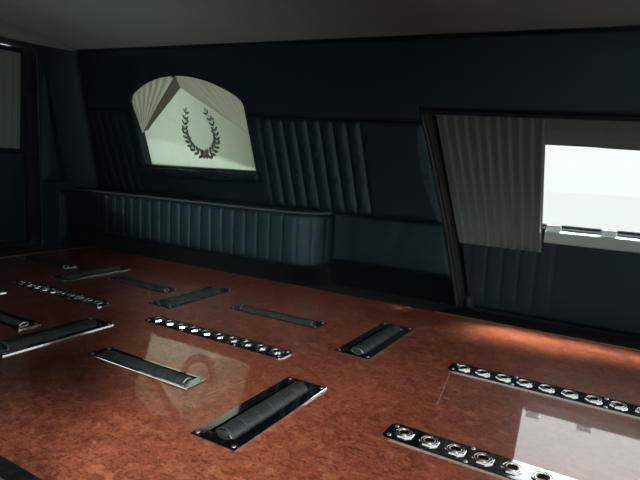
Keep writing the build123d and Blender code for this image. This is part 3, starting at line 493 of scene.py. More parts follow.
def woven(name, yarn, threads, sheen, translucent=0.0, painted_shade=None):
    """Plain weave on the cloth's own flat coordinates, in metres; the last argument paints shade over it, as
    a share and the shaded colour.
    """
    # A wave of scale 1 draws about 6.28 threads to the metre
    scale = threads / 6.2832
    finish = Finish(name, roughness=0.85, sheen_weight=sheen, sheen_roughness=0.5, specular_ior_level=0.25)
    flat = finish.cloth_place()
    warp = finish.wave(scale, "X", 0.6, flat)
    weft = finish.wave(scale, "Y", 0.6, flat)
    slub = finish.noise(38.0, 4.0, 0.6, 0.0, finish.stretched((1.0, 0.12, 1.0), place=flat))
    thread = warp * weft
    base = finish.mix(thread * 0.5 + slub * 0.5, dimmed(yarn, 0.80), dimmed(yarn, 1.08))
    if painted_shade:
        # Painted shade: a share of the weave's colour is turned to a darker, shaded colour
        share, second = painted_shade
        u, v = (finish.axis(number, flat) for number in (0, 1))
        base = finish.mix(share(u, v), base, second)
    finish.set(base_color=base)
    finish.relief(thread + slub * 0.7, 0.35, 0.0005)
    if translucent:
        finish.blend(translucent, finish.add("ShaderNodeBsdfTranslucent", {}, {"Color": base}))
    return finish.material


def window_glass(name, tint):
    """Thin tinted glass: mirrors a little at its face and lets the rest straight through."""
    finish = Finish(name, base_color=BLACK, specular_ior_level=1.0, coat_weight=1.0, coat_roughness=0.0)
    wipe = finish.noise(5.0, 4.0, 0.6, 0.5)
    finish.set(roughness=wipe.above(0.7, 0.4) * 0.04 + 0.01)
    facing = finish.add("ShaderNodeLayerWeight", {}, {"Blend": 0.5}, "Facing")
    clear = finish.add("ShaderNodeBsdfTransparent", {}, {"Color": tint})
    return finish.blend(0.96 - facing**5 * 0.9, clear).material


def clear_plastic():
    """Clear moulded latches, a little hazy."""
    finish = Finish("clear_plastic", base_color=(0.86, 0.90, 0.90), transmission_weight=0.6, ior=1.49)
    return finish.set(roughness=finish.noise(60.0, 2.0) * 0.1 + 0.06).material


def satin_plastic(name, dye):
    """Finely grained moulding."""
    finish = Finish(name)
    grain = finish.noise(500.0, 2.0)
    finish.set(base_color=finish.mix(grain, dimmed(dye, 0.8), dye), roughness=grain * 0.15 + 0.5)
    return finish.relief(grain, 0.25, 0.0005).material


def sewing_thread(name, dye):
    """Twisted embroidery thread."""
    finish = Finish(name, roughness=0.6, sheen_weight=0.3)
    twist = finish.wave(260.0, "DIAGONAL", 0.5)
    finish.set(base_color=finish.mix(twist, dimmed(dye, 0.55), dye))
    return finish.relief(twist, 0.5, 0.0004).material


FINISHES = {}
NODE_FINISHES = {
    "burl": ("deck_board", "rear_sill_inlay"),
    "frame_paint": ("frame_rails", "frame_cross_members", "frame_legs"),
    "rubber": ("deck_edge_strip", "door_seal"),
    "sill_metal": ("rear_sill",),
    "ledge": ("side_door_ledge",),
    "ribbed_sill": ("door_sill",),
    "chrome": (
        "bier_pin_plates", "crosswise_roller_trays", "lengthwise_roller_trays", "hinge_brackets",
        "side_door_handle", "side_door_hinge_straps", "tailgate_handle", "tailgate_hinge_straps"),
    "bright_steel": ("roller_axles",),
    "carpet": ("kick_panel",),
    "liner": ("wheelhouse_liner",),
    "paint": ("quarter_panel", "front_post", "side_door_shell"),
    "roof_paint": ("roof_panel",),
    "rear_paint": ("rear_frame", "tailgate_shell"),
    "glass": ("opera_window_glass", "side_door_glass", "tailgate_glass"),
    "clear": ("side_door_latches",),
    "leather": (
        "lower_quarter_trim", "upper_quarter_trim", "header_band", "front_post_trim", "rear_frame_trim",
        "side_door_trim", "tailgate_trim", "window_sill_pad", "wheelhouse_box"),
    "bead": ("wheelhouse_rail",),
    "headliner": ("headliner",),
    "cloth": ("opera_backing_cloth",),
    "ivory": ("opera_drapes",),
    "drape": ("side_door_drape", "side_door_valance", "tailgate_drape"),
}


class COMPARTMENT_OT_finishes(bpy.types.Operator):
    """Makes every material and gives the frame's nodes theirs"""

    bl_idname = "compartment.finishes"
    bl_label = "Finishes"

    def execute(self, context):
        colours = context.scene.compartment_colours
        lacquer = tuple(colours.paint)
        FINISHES.update(
            burl=burl_laminate(colours),
            frame_paint=painted_steel(),
            rubber=seal_rubber(),
            cross_roller=roller_sleeves("crosswise_sleeves", 1),
            long_roller=roller_sleeves("lengthwise_sleeves", 0),
            sill_metal=brushed_metal("sill_metal", (0.50, 0.50, 0.49), 0.26, (1.0, 0.03, 1.0)),
            ribbed_sill=brushed_metal("ribbed_sill", (0.05, 0.053, 0.056), 0.4),
            zinc=brushed_metal("zinc_plate", (0.72, 0.74, 0.72), 0.2, (1.0, 1.0, 1.0)),
            chrome=polished_chrome(),
            bright_steel=brushed_metal("bright_steel", (0.55, 0.55, 0.55), 0.22),
            carpet=carpet(),
            liner=satin_plastic("liner_plastic", (0.018, 0.018, 0.019)),
            paint=coach_paint(
                "side_paint", lacquer, lambda x, y, z: (y + z * SKIN_SLOPE).above(0.965, 0.004)),
            roof_paint=coach_paint(
                "roof_paint", lacquer, lambda x, y, z: (z + x * BODY_RISE).above(0.99, 0.002)),
            rear_paint=coach_paint(
                "rear_paint", lacquer, lambda x, y, z: (0.0 - x).above(1.785, 0.002)),
            glass=window_glass("tinted_glass", (1.0, 1.0, 0.998)),
            clear=clear_plastic(),
            leather=leather("navy_leather", tuple(colours.leather), tuple(colours.leather_worn)),
            bead=leather("bead_leather", tuple(colours.bead), dimmed(tuple(colours.bead), 1.3)),
            headliner=woven("headliner_cloth", tuple(colours.headliner), 700.0, 0.1),
            # Painted shade on the window cloth: above a diagonal that falls towards the front it turns
            # grey-olive, more so towards the front; below it the cloth stays bright
            cloth=woven("window_cloth", tuple(colours.cloth), 620.0, 0.1, translucent=0.45, painted_shade=(
                lambda u, v: (v + u * 0.224).above(0.165, 0.025) * (u.above(0.50, 0.45) * 0.62 + 0.25),
                (0.36, 0.37, 0.31))),
            ivory=woven("swag_cloth", tuple(colours.ivory), 620.0, 0.3, translucent=0.25),
            drape=woven("drape_cloth", tuple(colours.drape), 620.0, 0.3, translucent=0.25),
            ledge=satin_plastic("ledge_paint", (0.42, 0.56, 0.53)),
            gold=brushed_metal("gold_edging", tuple(colours.gold), 0.25),
            # A darker brown-olive copy of the swag cloth: painted shade for the rear swag's turned-back band
            lining=woven("swag_lining", (0.13, 0.125, 0.085), 620.0, 0.2),
            red_thread=sewing_thread("red_thread", (0.27, 0.095, 0.095)),
            green_thread=sewing_thread("green_thread", (0.055, 0.12, 0.085)),
        )
        for finish, names in NODE_FINISHES.items():
            for name in names:
                coat(NODES[name], finish)
        for name, node in NODES.items():
            if "_roller_" in name and not name.endswith("trays"):
                coat(node, "cross_roller" if name.startswith("crosswise") else "long_roller")
        return {"FINISHED"}


def coat(piece, finish):
    """Gives a piece one finish all over."""
    piece.data.materials.clear()
    piece.data.materials.append(FINISHES[finish])


def clear_selection():
    if bpy.context.object and bpy.context.object.mode != "OBJECT":
        bpy.ops.object.mode_set(mode="OBJECT")
    bpy.ops.object.select_all(action="DESELECT")


def use(piece):
    """Makes a piece the active one and the only one selected."""
    clear_selection()
    bpy.context.view_layer.objects.active = piece
    piece.select_set(True)


def grid(name, columns, rows, place, flat=(1.0, 1.0)):
    """A quad grid put in place point by point; place takes shares across and up, and gives millimetres."""
    clear_selection()
    bpy.ops.mesh.primitive_grid_add(x_subdivisions=columns, y_subdivisions=rows, size=2.0)
    piece = bpy.context.object
    piece.name = piece.data.name = name
    for vertex in piece.data.vertices:
        vertex.co = Vector(place((vertex.co.x + 1) / 2, (vertex.co.y + 1) / 2)) * MM
    for loop in piece.data.uv_layers.active.data:
        loop.uv = (loop.uv[0] * flat[0], loop.uv[1] * flat[1])
    return piece


def close_up(piece):
    """Merges a wrapped grid's seam and poles and turns its faces outwards."""
    use(piece)
    bpy.ops.object.mode_set(mode="EDIT")
    bpy.ops.mesh.select_all(action="SELECT")
    bpy.ops.mesh.remove_doubles(threshold=0.05 * MM)
    bpy.ops.mesh.fill_holes(sides=0)
    bpy.ops.mesh.normals_make_consistent(inside=False)
    bpy.ops.object.mode_set(mode="OBJECT")


def change(piece, kind, **settings):
    """Adds a modifier, sets it and applies it."""
    use(piece)
    modifier = piece.modifiers.new(kind.title(), kind)
    for name, setting in settings.items():
        setattr(modifier, name, setting)
    bpy.ops.object.modifier_apply(modifier=modifier.name)


def rounded(piece, angle=40):
    """Smooth shading, with edges sharper than an angle in degrees kept."""
    use(piece)
    bpy.ops.object.shade_smooth_by_angle(angle=math.radians(angle))


def puff(piece, held, pressure, cap, slack):
    """Swells a pad by cloth simulation with its seams held, no point moving further than the cap."""
    steps = 20
    group = piece.vertex_groups.new(name="sewn")
    group.add([vertex.index for vertex in piece.data.vertices if held(vertex.co / MM)], 1.0, "REPLACE")
    start = [vertex.co.copy() for vertex in piece.data.vertices]
    use(piece)
    cloth = piece.modifiers.new("Cloth", "CLOTH")
    cloth.settings.quality = 4
    cloth.settings.mass = 0.25
    cloth.settings.use_pressure = True
    cloth.settings.uniform_pressure_force = pressure
    cloth.settings.effector_weights.gravity = 0.0
    cloth.settings.vertex_group_mass = group.name
    cloth.settings.shrink_min = -slack
    cloth.collision_settings.use_collision = False
    cloth.point_cache.frame_start = 1
    cloth.point_cache.frame_end = steps
    for step in range(1, steps + 1):
        bpy.context.scene.frame_set(step)
    bpy.ops.object.modifier_apply(modifier=cloth.name)
    bpy.context.scene.frame_set(1)
    for vertex, before in zip(piece.data.vertices, start):
        shift = vertex.co - before
        if shift.length > cap:
            vertex.co = before + shift * (cap / shift.length)
    piece.vertex_groups.clear()


def settle(piece, body, finish, *nodes):
    """Gives a piece its finish and slot, lets it ride on a body and stand for nodes."""
    coat(piece, finish)
    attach(piece, body)
    if nodes:
        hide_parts(*nodes)


def backed(piece, thickness, body, finish, *nodes, offset=-1.0, angle=40):
    """Gives a face its thickness behind it, smooth shading, and what settle gives."""
    change(piece, "SOLIDIFY", thickness=thickness, offset=offset)
    rounded(piece, angle)
    settle(piece, body, finish, *nodes)


class Panel:
    """A trim panel between a lower and an upper line on the wall, given as stations from rear to front.

    A station has its lower point, its upper point and the number of columns to the next one.
    """

    def __init__(self, stations, face=WALL_Y):
        self.stations = stations
        self.face = face
        self.marks = []
        for index, (_, _, columns) in enumerate(stations):
            self.marks += [(index, step / columns) for step in range(columns)]
        self.marks.append((len(stations) - 2, 1.0))
        ends = [(low, high) for low, high, _ in stations]
        self.length = sum(math.dist(a, c) + math.dist(b, d) for (a, b), (c, d) in zip(ends, ends[1:])) / 2
        self.height = sum(math.dist(low, high) for low, high in ends) / len(ends)

    def spot(self, u, v):
        """X and Z at shares along and up."""
        place, share = self.marks[round(u * (len(self.marks) - 1))]
        (low, high, _), (next_low, next_high, _) = self.stations[place : place + 2]
        bottom = [lerp(a, b, share) for a, b in zip(low, next_low)]
        top = [lerp(a, b, share) for a, b in zip(high, next_high)]
        return [lerp(a, b, v) for a, b in zip(bottom, top)]

    def point(self, x, z, proud):
        """A point of the panel's face, or proud of it towards the deck."""
        lean = WALL_ANGLE if z > BELT_Z + 2 else 0.0
        face = self.face - max(0.0, z - BELT_Z) * WALL_LEAN
        return (x, face - proud * math.cos(lean), z - proud * math.sin(lean))

    def sheet(self, name, relief, pitch):
        """The panel's face as a quad grid; relief gives its height at a spot so far from its edges."""

        def place(u, v):
            x, z = self.spot(u, v)
            side = min(u, 1 - u) * self.length
            end = min(v, 1 - v) * self.height
            return self.point(x, z, relief(x, z, side, end, u, v))

        columns, rows = len(self.marks) - 1, round(self.height / pitch)
        return grid(name, columns, rows, place, (self.length * MM, self.height * MM))


def rolled(distance, width, depth):
    """How far a pad's face has rolled back near its edge."""
    share = min(1.0, max(0.0, distance / width))
    return -depth * (1 - math.sqrt(1 - (1 - share) ** 2))


def channel(along, pitch, height):
    """The crown of one sewn channel."""
    share = abs(2 * (along / pitch - math.floor(along / pitch)) - 1)
    return height * (1 - share**3.2) ** 0.62


def opera_outline(inset=0.0):
    """The opera window's outline on the wall, as x and z, with rounded shoulders."""
    round_from = 26.0
    front = [point for point in opera_arch() if abs(point[0]) < OPERA_HALF - round_from]
    corners = list(zip((OPERA_HALF, OPERA_SIDE - round_from), (OPERA_HALF, OPERA_SIDE), front[0]))
    shoulder = []
    for share in (0.0, 0.2, 0.4, 0.6, 0.8, 1.0):
        rest = 1 - share
        shoulder.append(tuple(rest**2 * a + 2 * share * rest * b + share**2 * c for a, b, c in corners))
    sides = [(OPERA_HALF, OPERA_SIDE * step / 10) for step in range(10)]
    across = [(-OPERA_HALF + OPERA_HALF * step / 10, 0.0) for step in range(20)]
    right = sides + shoulder
    left = [(-a, b) for a, b in reversed(right)]
    points = across + right + front[1:-1] + left
    scale = 1 - inset / OPERA_HALF
    return [opera_point(lerp(0.0, a, scale), lerp(OPERA_SIDE / 2, b, scale)) for a, b in points]


def outline_gap(x, z, outline):
    """Distance from a point to a closed outline, whether it is inside, and the nearest point."""
    best, nearest, inside = 1e9, (x, z), False
    for (ax, az), (bx, bz) in zip(outline, outline[1:] + outline[:1]):
        dx, dz = bx - ax, bz - az
        share = min(1.0, max(0.0, ((x - ax) * dx + (z - az) * dz) / (dx * dx + dz * dz + 1e-9)))
        px, pz = ax + share * dx, az + share * dz
        gap = math.hypot(x - px, z - pz)
        if gap < best:
            best, nearest = gap, (px, pz)
        if (az > z) != (bz > z) and x < ax + (z - az) * dx / (dz + 1e-12):
            inside = not inside
    return best, inside, nearest


def cut_window(piece, panel, outline):
    """Takes a window's opening out of a panel's face and rounds the face back to its edge."""
    reach, proud, edge = 30, -7.0, 12
    near = {}
    low_x, high_x = min(p[0] for p in outline) - reach, max(p[0] for p in outline) + reach
    low_z = min(p[1] for p in outline) - reach
    for vertex in piece.data.vertices:
        x, z = vertex.co.x / MM, vertex.co.z / MM
        if low_x < x < high_x and z > low_z:
            near[vertex.index] = outline_gap(x, z, outline)
    inside = {index for index, found in near.items() if found[1]}
    gone = [face.index for face in piece.data.polygons if all(corner in inside for corner in face.vertices)]
    for index, (gap, within, nearest) in near.items():
        vertex = piece.data.vertices[index]
        if within:
            vertex.co = Vector(panel.point(*nearest, proud)) * MM
        elif gap < edge:
            x, z = vertex.co.x / MM, vertex.co.z / MM
            flat = Vector(panel.point(x, z, proud)) * MM
            vertex.co = flat.lerp(vertex.co, math.sqrt(1 - (1 - gap / edge) ** 2))
    use(piece)
    bpy.ops.object.mode_set(mode="EDIT")
    bpy.ops.mesh.select_mode(type="FACE")
    bpy.ops.mesh.select_all(action="DESELECT")
    bpy.ops.object.mode_set(mode="OBJECT")
    for index in gone:
        piece.data.polygons[index].select = True
    bpy.ops.object.mode_set(mode="EDIT")
    bpy.ops.mesh.delete(type="FACE")
    bpy.ops.object.mode_set(mode="OBJECT")


def tube(name, path, radius, around=12, closed=False):
    """A round bead along a path of points in millimetres."""
    clear_selection()
    bpy.ops.curve.primitive_bezier_curve_add()
    curve = bpy.context.object
    curve.name = curve.data.name = name
    curve.data.splines.clear()
    spline = curve.data.splines.new("POLY")
    spline.points.add(len(path) - 1)
    for point, place in zip(spline.points, path):
        point.co = (*(Vector(place) * MM), 1.0)
    spline.use_cyclic_u = closed
    curve.data.dimensions = "3D"
    curve.data.bevel_depth = radius * MM
    curve.data.bevel_resolution = max(1, around // 4 - 1)
    curve.data.use_fill_caps = not closed
    use(curve)
    bpy.ops.object.convert(target="MESH")
    piece = bpy.context.object
    piece.location = (0, 0, 0)
    rounded(piece)
    return piece


def joined(name, pieces):
    """Joins copies into one piece."""
    clear_selection()
    for piece in pieces:
        piece.select_set(True)
    bpy.context.view_layer.objects.active = pieces[0]
    bpy.ops.object.join()
    whole = bpy.context.object
    whole.name = whole.data.name = name
    return whole


def copied(piece, shift):
    """A copy with its own mesh, moved by a shift in millimetres in its mesh."""
    twin = piece.copy()
    twin.data = piece.data.copy()
    bpy.context.scene.collection.objects.link(twin)
    twin.data.transform(Matrix.Translation(Vector(shift) * MM))
    return twin


class COMPARTMENT_OT_wall_trim(bpy.types.Operator):
    """Header band, pleated upper trim and plain lower trim of the side wall"""

    bl_idname = "compartment.wall_trim"
    bl_label = "Wall trim"

    def execute(self, context):
        sizes = context.scene.compartment_sizes
        window = opera_outline()

        pleats_from, pleats_to = FRONT_PLEATS
        rear_from, rear_to = REAR_PLEATS

        def station(x, lean, columns):
            """A seam across the trim, leaning to the rear as it goes up."""
            top_x = x - lean * (climb(TRIM_TOP, x) - BELT_Z)
            return (x, BELT_Z + 1.0), (top_x, climb(TRIM_TOP, top_x) - 1.0), columns

        upper = Panel([
            station(WALL_REAR, 0.0, 20),
            station(rear_from, 0.16, 44),
            station(rear_to, 0.15, 100),
            station(pleats_from, 0.13, 80),
            station(pleats_to, 0.13, 34),
            station(door_edge(BELT_Z, TRIM_BACK), DOOR_RAKE, 0),
        ])

        def upper_relief(x, z, side, end, u, v):
            foot = upper.spot(u, 0.0)[0]
            crown = 2.5 + 1.3 * ripple(x / 170, z / 120, 3.0)
            for pleated, pleats, height, seed in ((FRONT_PLEATS, 8, 7.5, 1.0), (REAR_PLEATS, 4, 6.0, 2.0)):
                low, high = pleated
                if low <= foot <= high:
                    pleat = channel(foot - low, (high - low) / pleats, height)
                    crown = pleat * smooth(end / 26) + 0.8 * ripple(foot / 60, z / 90, seed)
            return crown + rolled(min(side, end), 12.0, 9.0)

        piece = upper.sheet("upper_quarter_upholstery", upper_relief, 7.0)
        puff(piece, lambda spot: spot.y > wall_y(spot.z) - 1.2, 2.4, 2.6 * MM, 0.01)
        cut_window(piece, upper, window)
        backed(piece, sizes.pad_thickness, "compartment", "leather", "upper_quarter_trim")

        def header_station(foot_line, foot_x, head_x, columns, lift=0.0):
            """A line across the header, from the trim's or the door opening's top to the headliner."""
            return (foot_x, climb(foot_line, foot_x) + lift), (head_x, climb(HEADER_TOP, head_x)), columns

        header = Panel([
            header_station(TRIM_TOP, WALL_REAR, WALL_REAR, 190, 1),
            header_station(TRIM_TOP, 356.0, 240.0, 6, 1),
            header_station(DOOR_OPENING_TOP, 345.2, 290.0, 120),
            header_station(DOOR_OPENING_TOP, POST_FRONT, POST_FRONT, 0),
        ])

        def header_relief(x, z, side, end, u, v):
            share = min(1.0, max(0.0, (z - climb(TRIM_TOP, x)) / (HEADER_TOP - TRIM_TOP)))
            bulge = 6 * math.sin(math.pi * share) ** 0.8
            return bulge + 1.6 * ripple(x / 260, z / 140, 7.0) + rolled(min(side, end), 16.0, 8.0)

        piece = header.sheet("header_band_upholstery", header_relief, 9.0)
        cut_window(piece, header, window)
        backed(piece, sizes.pad_thickness, "compartment", "leather", "header_band")

        lower = Panel([
            ((BOX_FRONT + 2, SKIRT_TOP + 1), (BOX_FRONT + 2, BELT_Z - 1), 70),
            ((door_edge(SKIRT_TOP, TRIM_BACK), SKIRT_TOP + 1), (door_edge(BELT_Z, TRIM_BACK), BELT_Z - 1), 0),
        ])

        def lower_relief(x, z, side, end, u, v):
            """A crowned pad with one soft crease."""
            crease = hump(x - 0.5 * (z - 200), 250, 34) * smooth((z - 130) / 60)
            crown = 9 * (1 - abs(2 * v - 1) ** 2.4) * (1 - abs(2 * u - 1) ** 4)
            crown += 1.2 * ripple(x / 90, z / 60, 5.0) - 3.2 * crease
            return crown + rolled(min(side, end), 12.0, 8.0)

        piece = lower.sheet("lower_quarter_upholstery", lower_relief, 7.0)
        backed(piece, sizes.pad_thickness, "compartment", "leather", "lower_quarter_trim")

        post = Panel([
            ((POST_REAR, POST_FOOT), (POST_REAR, POST_HEAD), 8),
            ((POST_FRONT - 1, POST_FOOT), (POST_FRONT - 1, POST_HEAD), 0),
        ])

        def post_relief(x, z, side, end, u, v):
            return 6 * (1 - abs(2 * u - 1) ** 2.2) + rolled(min(side, end), 12.0, 7.0)

        piece = post.sheet("front_post_upholstery", post_relief, 9.0)
        backed(piece, sizes.pad_thickness, "compartment", "leather", "front_post_trim")
        return {"FINISHED"}


def box_path(along, depth=0.0):
    """A point of the wheelhouse box's front line in X and Y, set back from the face by a depth."""
    corner = BOX_FRONT - BOX_ROUND
    if along <= corner:
        return along, DECK_EDGE + depth
    turn = min(math.pi / 2, (along - corner) / BOX_ROUND)
    radius = BOX_ROUND - depth
    return corner + radius * math.sin(turn), WALL_Y - radius * math.cos(turn)


class COMPARTMENT_OT_wheelhouse_box(bpy.types.Operator):
    """Channelled cover and bead of the wheelhouse box"""

    bl_idname = "compartment.wheelhouse_box"
    bl_label = "Wheelhouse box"

    def execute(self, context):
        pitch = context.scene.compartment_sizes.box_pleat / MM
        first = BOX_CHANNEL_MARK - 15 * pitch
        path_end = BOX_FRONT - BOX_ROUND + math.pi / 2 * BOX_ROUND
        channels = int((path_end - first) / pitch)
        marks = [WALL_REAR + (first - WALL_REAR) * step / 24 for step in range(24)]
        marks += [first + pitch * step / 10 for step in range(channels * 10)]
        last = first + channels * pitch
        marks += [last + (path_end - last) * step / 6 for step in range(7)]

        bottom, face, top = 8, 30, 10
        rows = bottom + face + top

        def place(u, v):
            along = marks[round(u * (len(marks) - 1))]
            row = round(v * rows)
            fade = lerp(1.0, 0.55, smooth((along + 420) / 260))
            if row < bottom:
                x, y = box_path(along, 144.0 * (1 - row / bottom) + 6.0 * row / bottom)
                return x, y, BOX_BOTTOM
            if row > bottom + face:
                share = (row - bottom - face) / top
                x, y = box_path(along, 6.0 + 138.0 * share)
                return x, y, BOX_TOP - 0.5
            share = (row - bottom) / face
            z = lerp(BOX_BOTTOM, BOX_TOP, share)
            edge = min(z - BOX_BOTTOM, BOX_TOP - z)
            roll = 6.0 * (1 - math.sqrt(1 - (1 - min(1.0, edge / 8)) ** 2))
            if along > first:
                crown = channel(along - first, pitch, 7.5) * fade * smooth(edge / 20)
            else:
                crown = 4.0 * smooth(edge / 20) * smooth((first - along) / 10)
            x, y = box_path(along, roll + 3.0 - crown + 0.6 * ripple(along / 40, z / 50, 4.0))
            return x, y, z

        piece = grid("wheelhouse_box_cover", len(marks) - 1, rows, place)
        puff(piece, lambda spot: spot.z < BOX_BOTTOM + 1 or spot.z > BOX_TOP - 1.2, 3.0, 2.5 * MM, 0.015)
        backed(piece, 6 * MM, "compartment", "leather", "wheelhouse_box")

        steps = 170

        def bead_place(u, v):
            along = WALL_REAR + (path_end - 6 - WALL_REAR) * round(u * steps) / steps
            turn = 2 * math.pi * v
            x, y = box_path(along, 4.0 - 8.0 * math.cos(turn))
            return x, y, BOX_TOP + 5.8 + 6.2 * math.sin(turn) + 0.25 * ripple(along / 30, 0.0, 9.0)

        piece = grid("wheelhouse_bead", steps, 14, bead_place)
        close_up(piece)
        rounded(piece, 60)
        settle(piece, "compartment", "bead", "wheelhouse_rail")
        return {"FINISHED"}


def opera_top(across):
    """Height of the window's arch at a distance from its middle."""
    arch = OPERA_SIDE + OPERA_RISE - OPERA_RADIUS + math.sqrt(OPERA_RADIUS**2 - across**2)
    return arch - 14 * smooth((abs(across) - OPERA_HALF + 30) / 30)


def window_place(across, up, back):
    """A point of the opera window, set back from the wall's face, in millimetres."""
    return wall_inside(*opera_point(across, up), back)


def fold(along, pleats, sharp=0.28):
    """The height of a knife pleat from 0 to 1: a slow rise and a quick fall."""
    share = along * pleats - math.floor(along * pleats)
    return smooth(share / (1 - sharp)) if share < 1 - sharp else smooth((1 - share) / sharp)


class COMPARTMENT_OT_opera_window(bpy.types.Operator):
    """The opera window's rim, reveal, cloth, swags, wreath and sill pad"""

    bl_idname = "compartment.opera_window"
    bl_label = "Opera window"

    def execute(self, context):
        outline = opera_outline()
        count = len(outline)
        swag_cloth = 0.9 * MM

        def reveal_place(u, v):
            return wall_inside(*outline[round(u * count) % count], lerp(2.0, 44.0, v))

        reveal = grid("opera_reveal_lining", count, 6, reveal_place)
        change(reveal, "WELD", merge_threshold=0.1 * MM)
        backed(reveal, 1.6 * MM, "compartment", "leather", offset=0.0)

        rim = tube("opera_rim_piping", [(x, wall_y(z) + 3.0, z) for x, z in outline], 5.0, closed=True)
        settle(rim, "compartment", "leather")

        def cloth_place(u, v):
            across = (2 * u - 1) * (OPERA_HALF - 1)
            up = v * (opera_top(across) - 1) + 0.6 * (1 - v)
            crease = smooth((up - 150 + 0.42 * across) / 26) - smooth((up - 330 - 0.2 * across) / 60)
            wave = 0.9 * ripple(across / 120, up / 200, 6.0)
            return window_place(across, up, 46.4 - 2.6 * crease + wave)

        cloth = grid("opera_window_cloth", 90, 70, cloth_place, (0.748, 0.44))
        backed(cloth, 0.8 * MM, "compartment", "cloth", "opera_backing_cloth")

        # The rear swag's turned-back band gets the darker cloth as painted shade; the front swag's band keeps
        # the plain ivory
        for name, side, pleats, depth, lining in (
            ("rear", -1, 7, 12.0, "lining"),
            ("front", 1, 8, 3.6, "ivory"),
        ):
            apex = (-40.0, 437.0)
            tip = Vector((side * 371.0, 158.0))
            edge = Vector((side * 352.0, 168.0))
            rail_end = side * (OPERA_HALF - 2)
            rail = [(rail_end, 262.0), (rail_end, 300.0)]
            reach = abs(rail_end - apex[0])
            for step in range(25):
                across = rail_end - side * reach * step / 24
                rail.append((across, opera_top(across) + 5.0))
            lengths = [0.0]
            for first, second in zip(rail, rail[1:]):
                lengths.append(lengths[-1] + math.dist(first, second))

            def on_rail(share):
                along = share * lengths[-1]
                place = max(index for index, length in enumerate(lengths[:-1]) if length <= along + 1e-9)
                part = (along - lengths[place]) / (lengths[place + 1] - lengths[place])
                return Vector(rail[place]).lerp(Vector(rail[place + 1]), part)

            def swag_place(u, v):
                """Pleats that run from the rail to the tie; the front swag's grid is turned to face in."""
                u, v = (1 - u if side > 0 else u), 1 - v
                start, end = on_rail(u), tip.lerp(edge, u)
                across, up = start.lerp(end, v)
                head = smooth(v / 0.14)
                height = fold(u, pleats) * lerp(depth, 2.5, v) * lerp(0.35, 1.0, head)
                sag = 1.6 * math.sin(math.pi * v)
                return window_place(across, up, lerp(11.0, 24.0, head) - height - sag * 1.2 + 5.0 * v)

            swag = grid(f"opera_swag_{name}", pleats * 14, 40, swag_place, (0.62, 0.36))
            change(swag, "SOLIDIFY", thickness=swag_cloth, offset=0.0)
            rounded(swag, 60)
            back_top, back_foot = Vector((apex[0] - 30 * side, 399.0)), Vector((side * 340.0, 172.0))

            def return_place(u, v):
                start = Vector(apex).lerp(edge, u)
                end = back_top.lerp(back_foot, u)
                across, up = start.lerp(end, v)
                return window_place(across, up, lerp(22.0, 43.0, v) + 1.5 * math.sin(9 * u + 4 * v))

            fold_back = grid(f"opera_swag_return_{name}", 40, 10, return_place, (0.42, 0.06))
            backed(fold_back, swag_cloth, "compartment", lining, offset=0.0)
            settle(swag, "compartment", "ivory", "opera_drapes")

        sprig()

        length = 2 * (OPERA_HALF + 32.0)
        middle = OPERA_BOTTOM - 24.0

        def sill_place(u, v):
            """A soft roll with a flat top band; its belly sags in uneven waves."""
            x = OPERA_MIDDLE - length / 2 + length * u
            turn = 2 * math.pi * v
            end = math.sqrt(max(0.0, 1 - (1 - min(1.0, min(u, 1 - u) * length / 16)) ** 2))
            belly = max(0.0, -math.sin(turn))
            sag = 7.0 * math.sin(math.pi * u) ** 0.7 + 3.4 * math.sin(19 * u + 0.8)
            sag += 3.0 * ripple(x / 70, 0.0, 11.0)
            y = wall_y(OPERA_BOTTOM) - 17.0 + 19.0 * math.cos(turn) * end
            y += (2.2 * ripple(x / 30, math.cos(turn), 12.0) + 2.0 * ripple(x / 60, 2 * turn, 13.0)) * end
            z = middle + 20.0 * math.sin(turn) * end - sag * belly * end
            return x, y + (middle - z) * WALL_LEAN, z

        pad = grid("opera_sill_roll", 120, 24, sill_place)
        close_up(pad)
        puff(pad, lambda spot: spot.y > wall_y(spot.z) - 4, 3.0, 3.0 * MM, 0.03)
        rounded(pad, 70)
        settle(pad, "compartment", "leather", "window_sill_pad")
        return {"FINISHED"}


